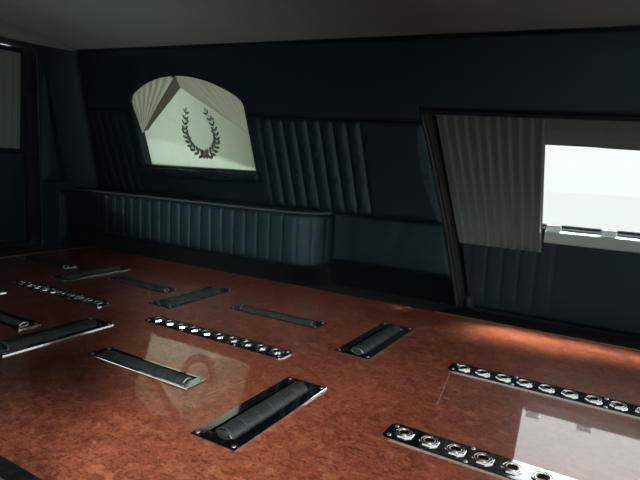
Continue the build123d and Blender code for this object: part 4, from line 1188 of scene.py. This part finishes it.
def sprig():
    """A plain wreath of two leafy branches with berries, stitched on the window cloth."""
    middle = 30
    cloth_depth = 43.0
    berry_lift = 1.8

    def stitch(spot, length, width, turn, lift=1.0):
        """A raised satin-stitch leaf."""
        cos, sin = math.cos(turn), math.sin(turn)

        def leaf_place(u, v):
            along = (u - 0.5) * length
            half = width / 2 * math.sin(math.pi * min(0.97, max(0.03, u))) ** 0.7
            aside = (2 * v - 1) * half
            crown = lift * (1 - (2 * v - 1) ** 2) * math.sin(math.pi * u)
            across, up = spot[0] + along * cos - aside * sin, spot[1] + along * sin + aside * cos
            return window_place(across, up, cloth_depth - crown)

        return grid("leaf", 8, 4, leaf_place)

    greens, reds, stems = [], [], []
    for side in (-1, 1):
        start = Vector((middle - side * 34, 46))
        bend = Vector((middle + side * 168, 96))
        tip = Vector((middle + side * 62, 272))
        line = []
        for step in range(25):
            share = step / 24
            line.append(start * (1 - share) ** 2 + bend * 2 * share * (1 - share) + tip * share**2)
        stems.append(tube("stem", [window_place(*point, cloth_depth + 0.4) for point in line], 0.9, 8))
        for index in range(3, 25, 2):
            run = line[index] - line[index - 1]
            heading = math.atan2(run.y, run.x)
            size = lerp(40, 26, index / 24)
            for hand in (-1, 1):
                turn = heading + hand * 0.75
                root = line[index] + Vector((math.cos(turn), math.sin(turn))) * size * 0.5
                greens.append(stitch(root, size, size * 0.40, turn))
            if index % 4 == 1:
                aside = Vector((-run.y, run.x)).normalized() * 17 * (1 if index % 8 == 1 else -1)
                reds.append(stitch(line[index] + aside, 15, 17, heading, berry_lift))
        greens.append(stitch(tip + Vector((0, 9)), 20, 8, math.pi / 2))
    for turn in range(6):
        angle = turn * math.pi / 3
        spot = (middle + 15 * math.cos(angle), 66 + 15 * math.sin(angle))
        reds.append(stitch(spot, 26, 15, angle, berry_lift))
    for name, pieces, thread in (
        ("opera_sprig_stems", stems, "green_thread"),
        ("opera_sprig_leaves", greens, "green_thread"),
        ("opera_sprig_berries", reds, "red_thread"),
    ):
        piece = joined(name, pieces)
        if pieces is not stems:
            change(piece, "SOLIDIFY", thickness=0.4 * MM, offset=0.0)
        rounded(piece, 60)
        settle(piece, "compartment", thread)


class COMPARTMENT_OT_headliner(bpy.types.Operator):
    """Headliner cloth, sewn over bows that cross the roof"""

    bl_idname = "compartment.headliner"
    bl_label = "Headliner"

    def execute(self, context):
        bows = 8
        cloth = 2.5 * MM
        length = POST_FRONT - WALL_REAR

        def place(u, v):
            x = POST_FRONT - length * u
            y = wall_y(climb(HEADER_TOP, x)) * (1 - v) + 0.5 * v
            bow = abs(2 * (u * bows - math.floor(u * bows)) - 1)
            sag = 8.5 * (1 - bow**2.2) * smooth(min(v, 1.2 - v) / 0.16)
            return x, y, roof_z(x, y) + 6.0 - sag + 1.1 * ripple(x / 150, y / 170, 20.0)

        def cove_place(u, v):
            """The headliner turned down in a soft round to the rear frame and its corner."""
            share = u * 1.5
            turn = math.pi / 2 * max(0.0, share - 1.0) * 2
            x = CORNER_X - CORNER_DEEP * math.cos(turn)
            out = Vector((x, 544.0 * min(1.0, share) + CORNER_WIDE * math.sin(turn)))
            inward = Vector((math.cos(turn), -math.sin(turn)))
            bend = math.pi / 2 * v
            spot = out + inward * 88.0 * (1 - math.cos(bend))
            lining = max(CORNER_TOP, roof_z(*spot) - 4.0)
            return spot.x, spot.y, lerp(CORNER_TOP - 3.0, lining, math.sin(bend))

        cove = grid("headliner_rear_cove", 90, 16, cove_place, (0.76, 0.13))
        backed(cove, cloth, "compartment", "headliner")

        piece = grid("headliner_cloth_sheet", 240, 60, place, (3.21, 0.745))
        backed(piece, cloth, "compartment", "headliner", "headliner")
        return {"FINISHED"}


class COMPARTMENT_OT_side_door(bpy.types.Operator):
    """Padded panel, drape and valance of the side door"""

    bl_idname = "compartment.side_door"
    bl_label = "Side door"

    def execute(self, context):
        sizes = context.scene.compartment_sizes
        door_low, door_high = 13.0, BELT_Z - 1.0
        pleats_from, pleats_to = DOOR_PLEATS

        def rear_edge(z):
            return door_edge(z, DOOR_TRIM_BACK)

        panel = Panel([
            ((rear_edge(door_low) + 2, door_low), (rear_edge(door_high) + 2, door_high), 8),
            ((pleats_from, door_low), (pleats_from, door_high), 50),
            ((pleats_to, door_low), (pleats_to, door_high), 64),
            ((DOOR_TRIM_FRONT, door_low), (DOOR_TRIM_FRONT, door_high), 0),
        ], DOOR_TRIM_Y)

        def panel_relief(x, z, side, end, u, v):
            crown = 5.0 * (1 - abs(2 * v - 1) ** 3)
            if x <= pleats_to:
                crown *= 0.6
            if pleats_from <= x <= pleats_to:
                seam = channel(x - pleats_from, (pleats_to - pleats_from) / 5, 1.0)
                crown += 3.0 * seam * smooth((z - 14) / 70)
            return crown + 1.4 * ripple(x / 110, z / 70, 15.0) + rolled(min(side, end), 12.0, 8.0)

        piece = panel.sheet("side_door_upholstery", panel_relief, 7.0)
        backed(piece, sizes.pad_thickness, "side_door", "leather", "side_door_trim")

        pleats, hem, pull = 10, 24.0, 24.0
        drape_cloth = 1.1 * MM

        def drape_place(u, v):
            low_x = lerp(rear_edge(DRAPE_LOW), DRAPE_FRONT, u)
            high_x = lerp(rear_edge(DOOR_TOP - 22), DRAPE_FRONT, u)
            x = lerp(low_x, high_x, v)
            low = DRAPE_LOW + 0.5
            z = lerp(low, climb(DOOR_TOP, x) - 9.0, v)
            x -= u * lerp(0.0, pull, v)
            swing = 2.4 * ripple(u * 7, z / 130, 17.0) * (1 - v) * smooth(min(u, 1 - u) * 14)
            edge = smooth(min(u, 1 - u) * 40)
            face = lerp(780.0, 737.4, (z - 250) / 459)
            height = 3.0 + fold(u + 0.002 * ripple(u * 9, z / 90, 18.0), pleats, 0.22) * 10.5 * edge
            if z < low + hem:
                height += 1.1
            gather = 1 - 0.45 * smooth((v - 0.9) / 0.1)
            return x + swing, face + 15.6 - height * gather, z

        drape = grid("side_door_pleated_drape", pleats * 14, 70, drape_place, (0.52, 0.46))
        backed(drape, drape_cloth, "side_door", "drape", "side_door_drape", angle=50)

        def valance_place(u, v):
            x = lerp(DRAPE_FRONT - pull - 0.5, WINDOW_FRONT - 0.8, u)
            scallop = 2.2 * math.sin(3 * math.pi * u) + 2.4 * ripple(x / 120, 0.0, 21.0)
            low = climb(DOOR_TOP, x) - 94.0 + max(0.0, scallop * (1 - v))
            z = lerp(low, climb(DOOR_TOP, x) - 9.0, v)
            face = lerp(752.0, 744.0, v)
            crease = 1.8 * hump(v, 0.62, 0.07) + 1.4 * hump(v, 0.3, 0.09)
            return x, face + 8.5 - 3.5 * math.sin(math.pi * v) - crease + 1.8 * ripple(x / 70, v * 2, 22.0), z

        valance = grid("side_door_valance_cloth", 110, 20, valance_place, (0.59, 0.095))
        backed(valance, drape_cloth, "side_door", "drape", "side_door_valance")
        return {"FINISHED"}


class COMPARTMENT_OT_rear_end(bpy.types.Operator):
    """Pads on the rear frame and in its corner, the tailgate's panel and its drape"""

    bl_idname = "compartment.rear_end"
    bl_label = "Rear end"

    def execute(self, context):
        pad = 8 * MM

        def slab(name, low, high, hand):
            """A tapering pad on the rear frame, between its edges at a low and a high line."""

            def place(u, v):
                y = lerp(lerp(low[0], high[0], v), lerp(low[1], high[1], v), u if hand > 0 else 1 - u)
                z = lerp(low[2], high[2], v)
                width = lerp(low[1] - low[0], high[1] - high[0], v)
                edge = min(min(u, 1 - u) * width, min(v, 1 - v) * (high[2] - low[2]))
                swell = 7.0 * smooth(edge / 40) + 1.2 * ripple(y / 60, z / 90, 30.0 + hand)
                return WALL_REAR + 17.0 + swell + rolled(edge, 10.0, 6.0), hand * y, z

            piece = grid(name, 16, round((high[2] - low[2]) / 9), place)
            backed(piece, pad, "compartment", "leather")

        for name, hand in (("left", 1), ("right", -1)):
            slab(f"rear_post_pad_{name}", (518.0, 659.0, 345.0), (538.0, 560.0, 930.0), hand)
            slab(f"rear_post_foot_{name}", (603.0, 688.0, 5.0), (612.0, 676.0, 300.0), hand)

        def corner_place(u, v):
            z = lerp(BOX_TOP + 14.0, CORNER_TOP, v)
            turn = math.pi / 2 * (1 + u)
            swell = 3.0 * math.sin(math.pi * u) + 1.5 * ripple(u * 2, z / 120, 34.0)
            x = CORNER_X + (CORNER_DEEP - swell) * math.cos(turn)
            return x, wall_y(z) - CORNER_WIDE - 4.0 + (CORNER_WIDE - swell) * math.sin(turn), z

        corner = grid("rear_corner_pad", 24, 80, corner_place)
        backed(corner, 5 * MM, "compartment", "leather")

        width = 2 * GATE_PANEL_HALF
        low, high = 21.0, 499.0

        def panel_place(u, v):
            """The tailgate's pad, which faces the front of the vehicle."""
            y, z = lerp(-GATE_PANEL_HALF, GATE_PANEL_HALF, u), lerp(low, high, v)
            edge = min(min(u, 1 - u) * width, min(v, 1 - v) * (high - low))
            swell = 3.0 + 3.0 * smooth(edge / 120) + 1.2 * ripple(y / 120, z / 90, 31.0)
            return GATE_INNER + 12.0 + swell + rolled(edge, 14.0, 9.0), y, z

        flat = (width * MM, (high - low) * MM)
        across, up = round(width / 9), round((high - low) / 9)
        piece = grid("tailgate_upholstery", across, up, panel_place, flat)
        backed(piece, pad, "tailgate", "leather", "tailgate_trim")

        pleats = 24

        def drape_place(u, v):
            y = lerp(-1.0, 1.0, u) * lerp(452.0, 476.0, v)
            z = lerp(515.5, 999.5, v)
            height = 2.0 + 9.0 * fold(u, pleats, 0.3) * smooth(min(u, 1 - u) * 40)
            if z < 540:
                height += 0.8
            swing = 2.0 * ripple(u * 12, z / 150, 33.0) * (1 - v)
            return GATE_INNER + 0.8 + height * (1 - 0.4 * smooth((v - 0.92) / 0.08)), y + swing, z

        drape = grid("tailgate_pleated_drape", pleats * 12, 50, drape_place, (1.2, 0.49))
        backed(drape, 1.0 * MM, "tailgate", "drape", "tailgate_drape", offset=0.0, angle=50)
        return {"FINISHED"}


# The deck's roller units by X and place, its pin plates by X and Y, and the tops of their fittings
CROSS_UNITS = ((453.0, "front"), (-302.0, "middle"), (-894.0, "rear"))
LONG_UNITS = ((81.0, "front"), (-586.0, "middle"), (-1225.0, "rear"))
UNIT_Y = 278.0
FITTINGS_TOP = 3.9
PIN_PITCH = 50.8
PINS = 10
BIER_PLATES = ((965.0, 205.0), (965.0, -205.0), (52.0, 0.0), (-704.0, 0.0))


def screw_head():
    """A domed head with a cross recess, its foot at the origin."""
    radius, height = 4.6, 2.4
    clear_selection()
    bpy.ops.mesh.primitive_uv_sphere_add(segments=20, ring_count=12, radius=radius * MM)
    head = bpy.context.object
    bpy.ops.object.mode_set(mode="EDIT")
    bpy.ops.mesh.select_all(action="SELECT")
    bpy.ops.mesh.bisect(plane_co=(0, 0, 0), plane_no=(0, 0, 1), use_fill=True, clear_inner=True)
    bpy.ops.object.mode_set(mode="OBJECT")
    head.data.transform(Matrix.Diagonal((1.0, 1.0, height / radius, 1.0)))
    for long, wide in ((3.2, 0.9), (0.9, 3.2)):
        clear_selection()
        bpy.ops.mesh.primitive_cube_add(size=MM)
        cutter = bpy.context.object
        cutter.data.transform(Matrix.Diagonal((long, wide, 2.2, 1.0)))
        cutter.data.transform(Matrix.Translation((0.0, 0.0, height * MM)))
        change(head, "BOOLEAN", operation="DIFFERENCE", object=cutter, solver="EXACT")
        bpy.data.objects.remove(cutter)
    rounded(head)
    return head


def ring(name, major, minor, place, sides=28):
    """A ring of round section about a place in millimetres."""
    clear_selection()
    bpy.ops.mesh.primitive_torus_add(
        major_radius=major * MM, minor_radius=minor * MM, major_segments=sides, minor_segments=8)
    piece = bpy.context.object
    piece.name = piece.data.name = name
    piece.data.transform(Matrix.Translation(Vector(place) * MM))
    rounded(piece, 44)
    return piece


class COMPARTMENT_OT_deck_fittings(bpy.types.Operator):
    """Screws, collars, roller caps and edging of the deck"""

    bl_idname = "compartment.deck_fittings"
    bl_label = "Deck fittings"

    def execute(self, context):
        spots = []
        for side in (-1, 1):
            for units, long, wide in ((CROSS_UNITS, 44.0, 155.0), (LONG_UNITS, 167.0, 24.0)):
                for x, _ in units:
                    spots += [(x + a * long, side * UNIT_Y + b * wide, FITTINGS_TOP)
                              for a in (-1, 1) for b in (-1, 1)]
        for x, y in BIER_PLATES:
            for a, wide in ((-252.0, 20.0), (-101.6, 26.0), (101.6, 26.0), (252.0, 20.0)):
                spots += [(x + a, y + b * wide, FITTINGS_TOP) for b in (-1, 1)]
        head = screw_head()
        screws = joined("deck_screws", [copied(head, spot) for spot in spots])
        bpy.data.objects.remove(head)
        settle(screws, "compartment", "zinc")

        collars = []
        for x, y in BIER_PLATES:
            for hole in range(PINS):
                place = (x + (hole - (PINS - 1) / 2) * PIN_PITCH, y, 7.0)
                collars += [ring("octagon", 16.4, 0.9, place, 8), ring("bush", 10.8, 1.1, place)]
        settle(joined("bier_pin_collars", collars), "compartment", "zinc")

        for kind, units, radius, half, proud, axis in (
            ("crosswise", CROSS_UNITS, 25.0, 132.0, 16.0, "X"),
            ("lengthwise", LONG_UNITS, 21.0, 145.0, 13.0, "Y"),
        ):
            for x, place in units:
                for hand, side in ((1, "left"), (-1, "right")):
                    caps = []
                    middle = Vector((x, hand * UNIT_Y, proud - radius)) * MM
                    for end in (-1, 1):
                        cap = ring("cap", radius - 3.2, 1.5, (0.0, 0.0, end * (half + 0.4)))
                        cap.data.transform(Matrix.Rotation(math.pi / 2, 4, axis))
                        cap.data.transform(Matrix.Translation(middle))
                        caps.append(cap)
                    roller = f"{kind}_roller_{place}_{side}"
                    settle(joined(f"{roller}_caps", caps), roller, "zinc")

        def edging_place(u, v):
            """A beaded gold line between the deck and the door sill."""
            rear, front, pitch = 492.0, 1468.0, 9.0
            x = lerp(rear, front, u)
            turn = 2 * math.pi * v
            radius = 0.7 + 0.7 * abs(math.sin(math.pi * (x - rear) / pitch))
            return x, 694.6 + radius * math.cos(turn), 1.2 + radius * math.sin(turn)

        edging = grid("gold_sill_edging", 860, 6, edging_place)
        close_up(edging)
        rounded(edging, 60)
        settle(edging, "compartment", "gold")
        return {"FINISHED"}


def skin_y(z):
    """Outer skin of the body side at height z, which leans in above the waist."""
    skin, waist, lean = 948.0, 330.0, 12.5
    return skin - max(0.0, z - waist) * math.tan(math.radians(lean))


class COMPARTMENT_OT_seals(bpy.types.Operator):
    """Door seal, bright strips and window gaskets"""

    bl_idname = "compartment.seals"
    bl_label = "Seals"

    def execute(self, context):
        def seal_line(back, drop, inboard):
            """Up the raked edge of the door's opening and forward under the header."""
            line = [(door_edge(z, back), z) for z in (1.0, 120.0, 240.0, BELT_Z, 420.0, 540.0, 660.0)]
            corner = 26
            top = DOOR_OPENING_TOP - drop
            corner_x = door_edge(top, back)
            for share in (0.0, 0.25, 0.5, 0.75, 1.0):
                x = corner_x + corner * share**2 + DOOR_RAKE * corner * (1 - share) ** 2
                line.append((x, climb(top, x) - corner * (1 - share) ** 2))
            line += [(x, climb(top, x)) for x in (700.0, 1000.0, 1300.0, 1474.0)]
            return [(x, wall_y(z) + inboard, z) for x, z in line]

        for name, back, drop, inboard, radius, finish in (
            ("door_seal_bulb", 20.0, 9.0, 8.0, 6.5, "rubber"),
            ("door_seal_rib", 4.0, 4.0, 9.0, 4.0, "rubber"),
            ("door_seal_bright_strip", -9.0, 1.0, 9.5, 1.2, "chrome"),
        ):
            settle(tube(name, seal_line(back, drop, inboard), radius), "compartment", finish)

        frame_wide, sill, front = 62.0, 330.0, WINDOW_FRONT - 4.0
        corner_x = door_edge(650.0) + frame_wide
        window = [
            (door_edge(326.0) + frame_wide, sill), (corner_x, climb(DOOR_TOP, corner_x) - 54.0),
            (front, climb(DOOR_TOP, WINDOW_FRONT) - 54.0), (front, sill)]
        inner = [(x, 823.5 - max(0.0, z - BELT_Z) * WALL_LEAN, z) for x, z in window]
        outer = [(x, skin_y(z) + 1.0, z) for x, z in window]
        rim = [(x, skin_y(z) + 1.0, z) for x, z in opera_outline(-2.0)]
        corner, gate = 40.0, []
        aside, high, low, gate_skin = 360.0, 910.0, 585.0, -1796.0
        for y, z, start in ((aside, high, 0), (-aside, high, 90), (-aside, low, 180), (aside, low, 270)):
            for step in range(7):
                turn = math.radians(start + 15 * step)
                gate.append((gate_skin, y + corner * math.cos(turn), z + corner * math.sin(turn)))
        for name, line, radius, body, finish in (
            ("side_door_gasket_inner", inner, 4.5, "side_door", "rubber"),
            ("side_door_gasket_outer", outer, 6.0, "side_door", "rubber"),
            ("opera_window_outer_trim", rim, 7.0, "compartment", "chrome"),
            ("tailgate_gasket", gate, 6.0, "tailgate", "rubber"),
        ):
            settle(tube(name, line, radius, closed=True), body, finish)
        return {"FINISHED"}


# Name, place, aim, size, power, spread in degrees, and whether bright surfaces mirror it
LAMPS = (
    ("open_side_light", (2.1, -2.3, 0.62), (-0.35, 0.7, 0.2), 0.7, 1.7, 34.0, True),
    ("near_deck_light", (1.15, -1.75, 1.0), (0.25, -0.6, 0.0), 0.35, 13.0, 76.0, False),
    ("near_corner_light", (0.36, -0.57, 0.34), (0.12, -0.67, 0.0), 0.1, 0.3, 74.0, False),
    ("box_light", (-0.6, -2.6, 1.3), (-0.8, 0.695, 0.2), 0.07, 2.2, 40.0, True),
    ("door_window_light", (1.56, 1.6, 2.25), (0.74, 0.60, 0.0), 0.8, 42.0, 28.0, False),
    ("opera_window_light", (-0.95, 2.9, 1.1), (-0.85, 0.9, 0.55), 1.4, 105.0, 180.0, False),
    ("rear_fill_light", (-0.3, -0.55, 0.12), (-1.1, 0.6, 1.0), 0.4, 3.4, 104.0, False),
)
LAMP_COLOUR = (0.88, 1.0, 0.94)
SKY_COLOUR = (0.93, 1.0, 0.985)
CAMERA_LENS = 29.58
CAMERA_PLACE = Matrix((
    (0.8554, -0.1158, 0.5049, 1.071),
    (0.5160, 0.1036, -0.8503, -1.1266),
    (0.0462, 0.9879, 0.1483, 0.524),
    (0.0, 0.0, 0.0, 1.0),
))


def roof_line(x):
    """Top of the header band at x."""
    return climb(HEADER_TOP, x)


def card_foot(x):
    """Foot of the cards, level with the front post's."""
    return POST_FOOT


class COMPARTMENT_OT_stage(bpy.types.Operator):
    """Floor, light and the photograph's camera"""

    bl_idname = "compartment.stage"
    bl_label = "Stage"

    def execute(self, context):
        clear_selection()
        bpy.ops.mesh.primitive_plane_add(size=40.0, location=(0.0, 0.0, cad_low.z))
        floor = context.object
        floor.name = "floor"
        finish = Finish("pale_floor", roughness=0.9, specular_ior_level=0.0, emission_strength=1.0)
        distance = finish.add("ShaderNodeVectorMath", {"operation": "LENGTH"}, {0: finish.place()}, "Value")
        far = distance.above(3.6, 2.4)
        grey = finish.mix(finish.noise(3.0), (0.80, 0.80, 0.79), (0.84, 0.84, 0.83))
        finish.set(base_color=finish.mix(far, grey, BLACK))
        finish.set(emission_color=finish.mix(far * finish.seen(), BLACK, SKY_COLOUR))
        floor.data.materials.append(finish.material)
        world = bpy.data.worlds.new("studio")
        context.scene.world = world
        world.use_nodes = True
        sky = Nodes(world.node_tree)
        background = world.node_tree.nodes["Background"].inputs
        sky.join(SKY_COLOUR, background["Color"])
        far_side = sky.axis(1, sky.add("ShaderNodeTexCoord", {}, {}, "Generated"))
        bright = sky.ray("Glossy") * far_side.above(0.15, 0.1) * 1.5
        sky.join(sky.seen() * 0.28 + 0.8 + bright, background["Strength"])
        card_finish = satin_plastic("card_black", (0.012, 0.014, 0.015))

        def card(name, place):
            """A dark sheet that only light and mirrored rays meet."""
            piece = grid(name, 24, 24, place)
            piece.data.materials.append(card_finish)
            piece.visible_camera = False

        def raked(x, share):
            """The front card's edge: it leans to the rear and swells a little below its middle."""
            return x + (85.0 * hump(share, 0.36, 0.1) - 240.0 * share) * smooth((x + 400.0) / 880.0)

        window_rear, window_front = -1190.0, -250.0
        for name, rear, front, low, high in (
            ("right_rear_card", WALL_REAR, window_rear, card_foot, roof_line),
            ("right_low_card", window_rear, window_front, card_foot,
             lambda x: 640.0 + 0.449 * max(0.0, -850.0 - x)),
            ("right_high_card", window_rear, window_front, lambda x: 768.0, roof_line),
            ("right_front_card", window_front, 490.0, card_foot, roof_line),
            ("right_header_card", 290.0, POST_FRONT, lambda x: climb(DOOR_OPENING_TOP, x), roof_line),
        ):
            def wall_card(u, v):
                x = lerp(rear, front, u)
                z = lerp(low(x), high(x), v)
                return (raked(x, v) if name == "right_front_card" else x), -wall_y(z), z

            card(name, wall_card)

        def roof_card(u, v):
            x = lerp(WALL_REAR, POST_FRONT, u)
            return x, lerp(-716.0, 0.0, v), roof_line(x) + ROOF_CROWN * (1 - (1 - v) ** 2)

        card("right_roof_card", roof_card)
        for name, place, aim, size, power, spread, mirrored in LAMPS:
            lamp = bpy.data.lights.new(name, "AREA")
            lamp.size = size
            lamp.energy = power
            lamp.spread = math.radians(spread)
            lamp.color = LAMP_COLOUR
            holder = bpy.data.objects.new(name, lamp)
            context.scene.collection.objects.link(holder)
            holder.location = place
            holder.visible_camera = False
            holder.visible_glossy = mirrored
            holder.rotation_mode = "QUATERNION"
            holder.rotation_quaternion = (Vector(place) - Vector(aim)).to_track_quat("Z", "Y")
        camera = bpy.data.objects.new("photo_camera", bpy.data.cameras.new("photo_camera"))
        context.scene.collection.objects.link(camera)
        camera.data.sensor_width = 36.0
        camera.data.lens = CAMERA_LENS
        camera.data.clip_start = 0.02
        camera.matrix_world = CAMERA_PLACE
        context.scene.camera = camera
        context.scene.view_settings.view_transform = "Standard"
        return {"FINISHED"}


class COMPARTMENT_PT_panel(bpy.types.Panel):
    """Lists the compartment's operators, colours and sizes"""

    bl_label = "Casket compartment"
    bl_space_type = "VIEW_3D"
    bl_region_type = "UI"
    bl_category = "Compartment"

    def draw(self, context):
        for operator in OPERATORS:
            self.layout.operator(operator.bl_idname)
        for group in (context.scene.compartment_colours, context.scene.compartment_sizes):
            for name in group.__annotations__:
                self.layout.prop(group, name)


OPERATORS = (
    COMPARTMENT_OT_finishes,
    COMPARTMENT_OT_stage,
    COMPARTMENT_OT_headliner,
    COMPARTMENT_OT_wall_trim,
    COMPARTMENT_OT_wheelhouse_box,
    COMPARTMENT_OT_opera_window,
    COMPARTMENT_OT_side_door,
    COMPARTMENT_OT_rear_end,
    COMPARTMENT_OT_deck_fittings,
    COMPARTMENT_OT_seals,
)
CLASSES = (CompartmentColours, CompartmentSizes, *OPERATORS, COMPARTMENT_PT_panel)


def register():
    for item in CLASSES:
        bpy.utils.register_class(item)
    bpy.types.Scene.compartment_colours = bpy.props.PointerProperty(type=CompartmentColours)
    bpy.types.Scene.compartment_sizes = bpy.props.PointerProperty(type=CompartmentSizes)


def unregister():
    del bpy.types.Scene.compartment_colours
    del bpy.types.Scene.compartment_sizes
    for item in reversed(CLASSES):
        bpy.utils.unregister_class(item)


def main():
    register()
    bpy.ops.compartment.finishes()
    bpy.ops.compartment.stage()
    bpy.ops.compartment.headliner()
    bpy.ops.compartment.wall_trim()
    bpy.ops.compartment.wheelhouse_box()
    bpy.ops.compartment.opera_window()
    bpy.ops.compartment.side_door()
    bpy.ops.compartment.rear_end()
    bpy.ops.compartment.deck_fittings()
    bpy.ops.compartment.seals()


if __name__ == "__main__":
    main()
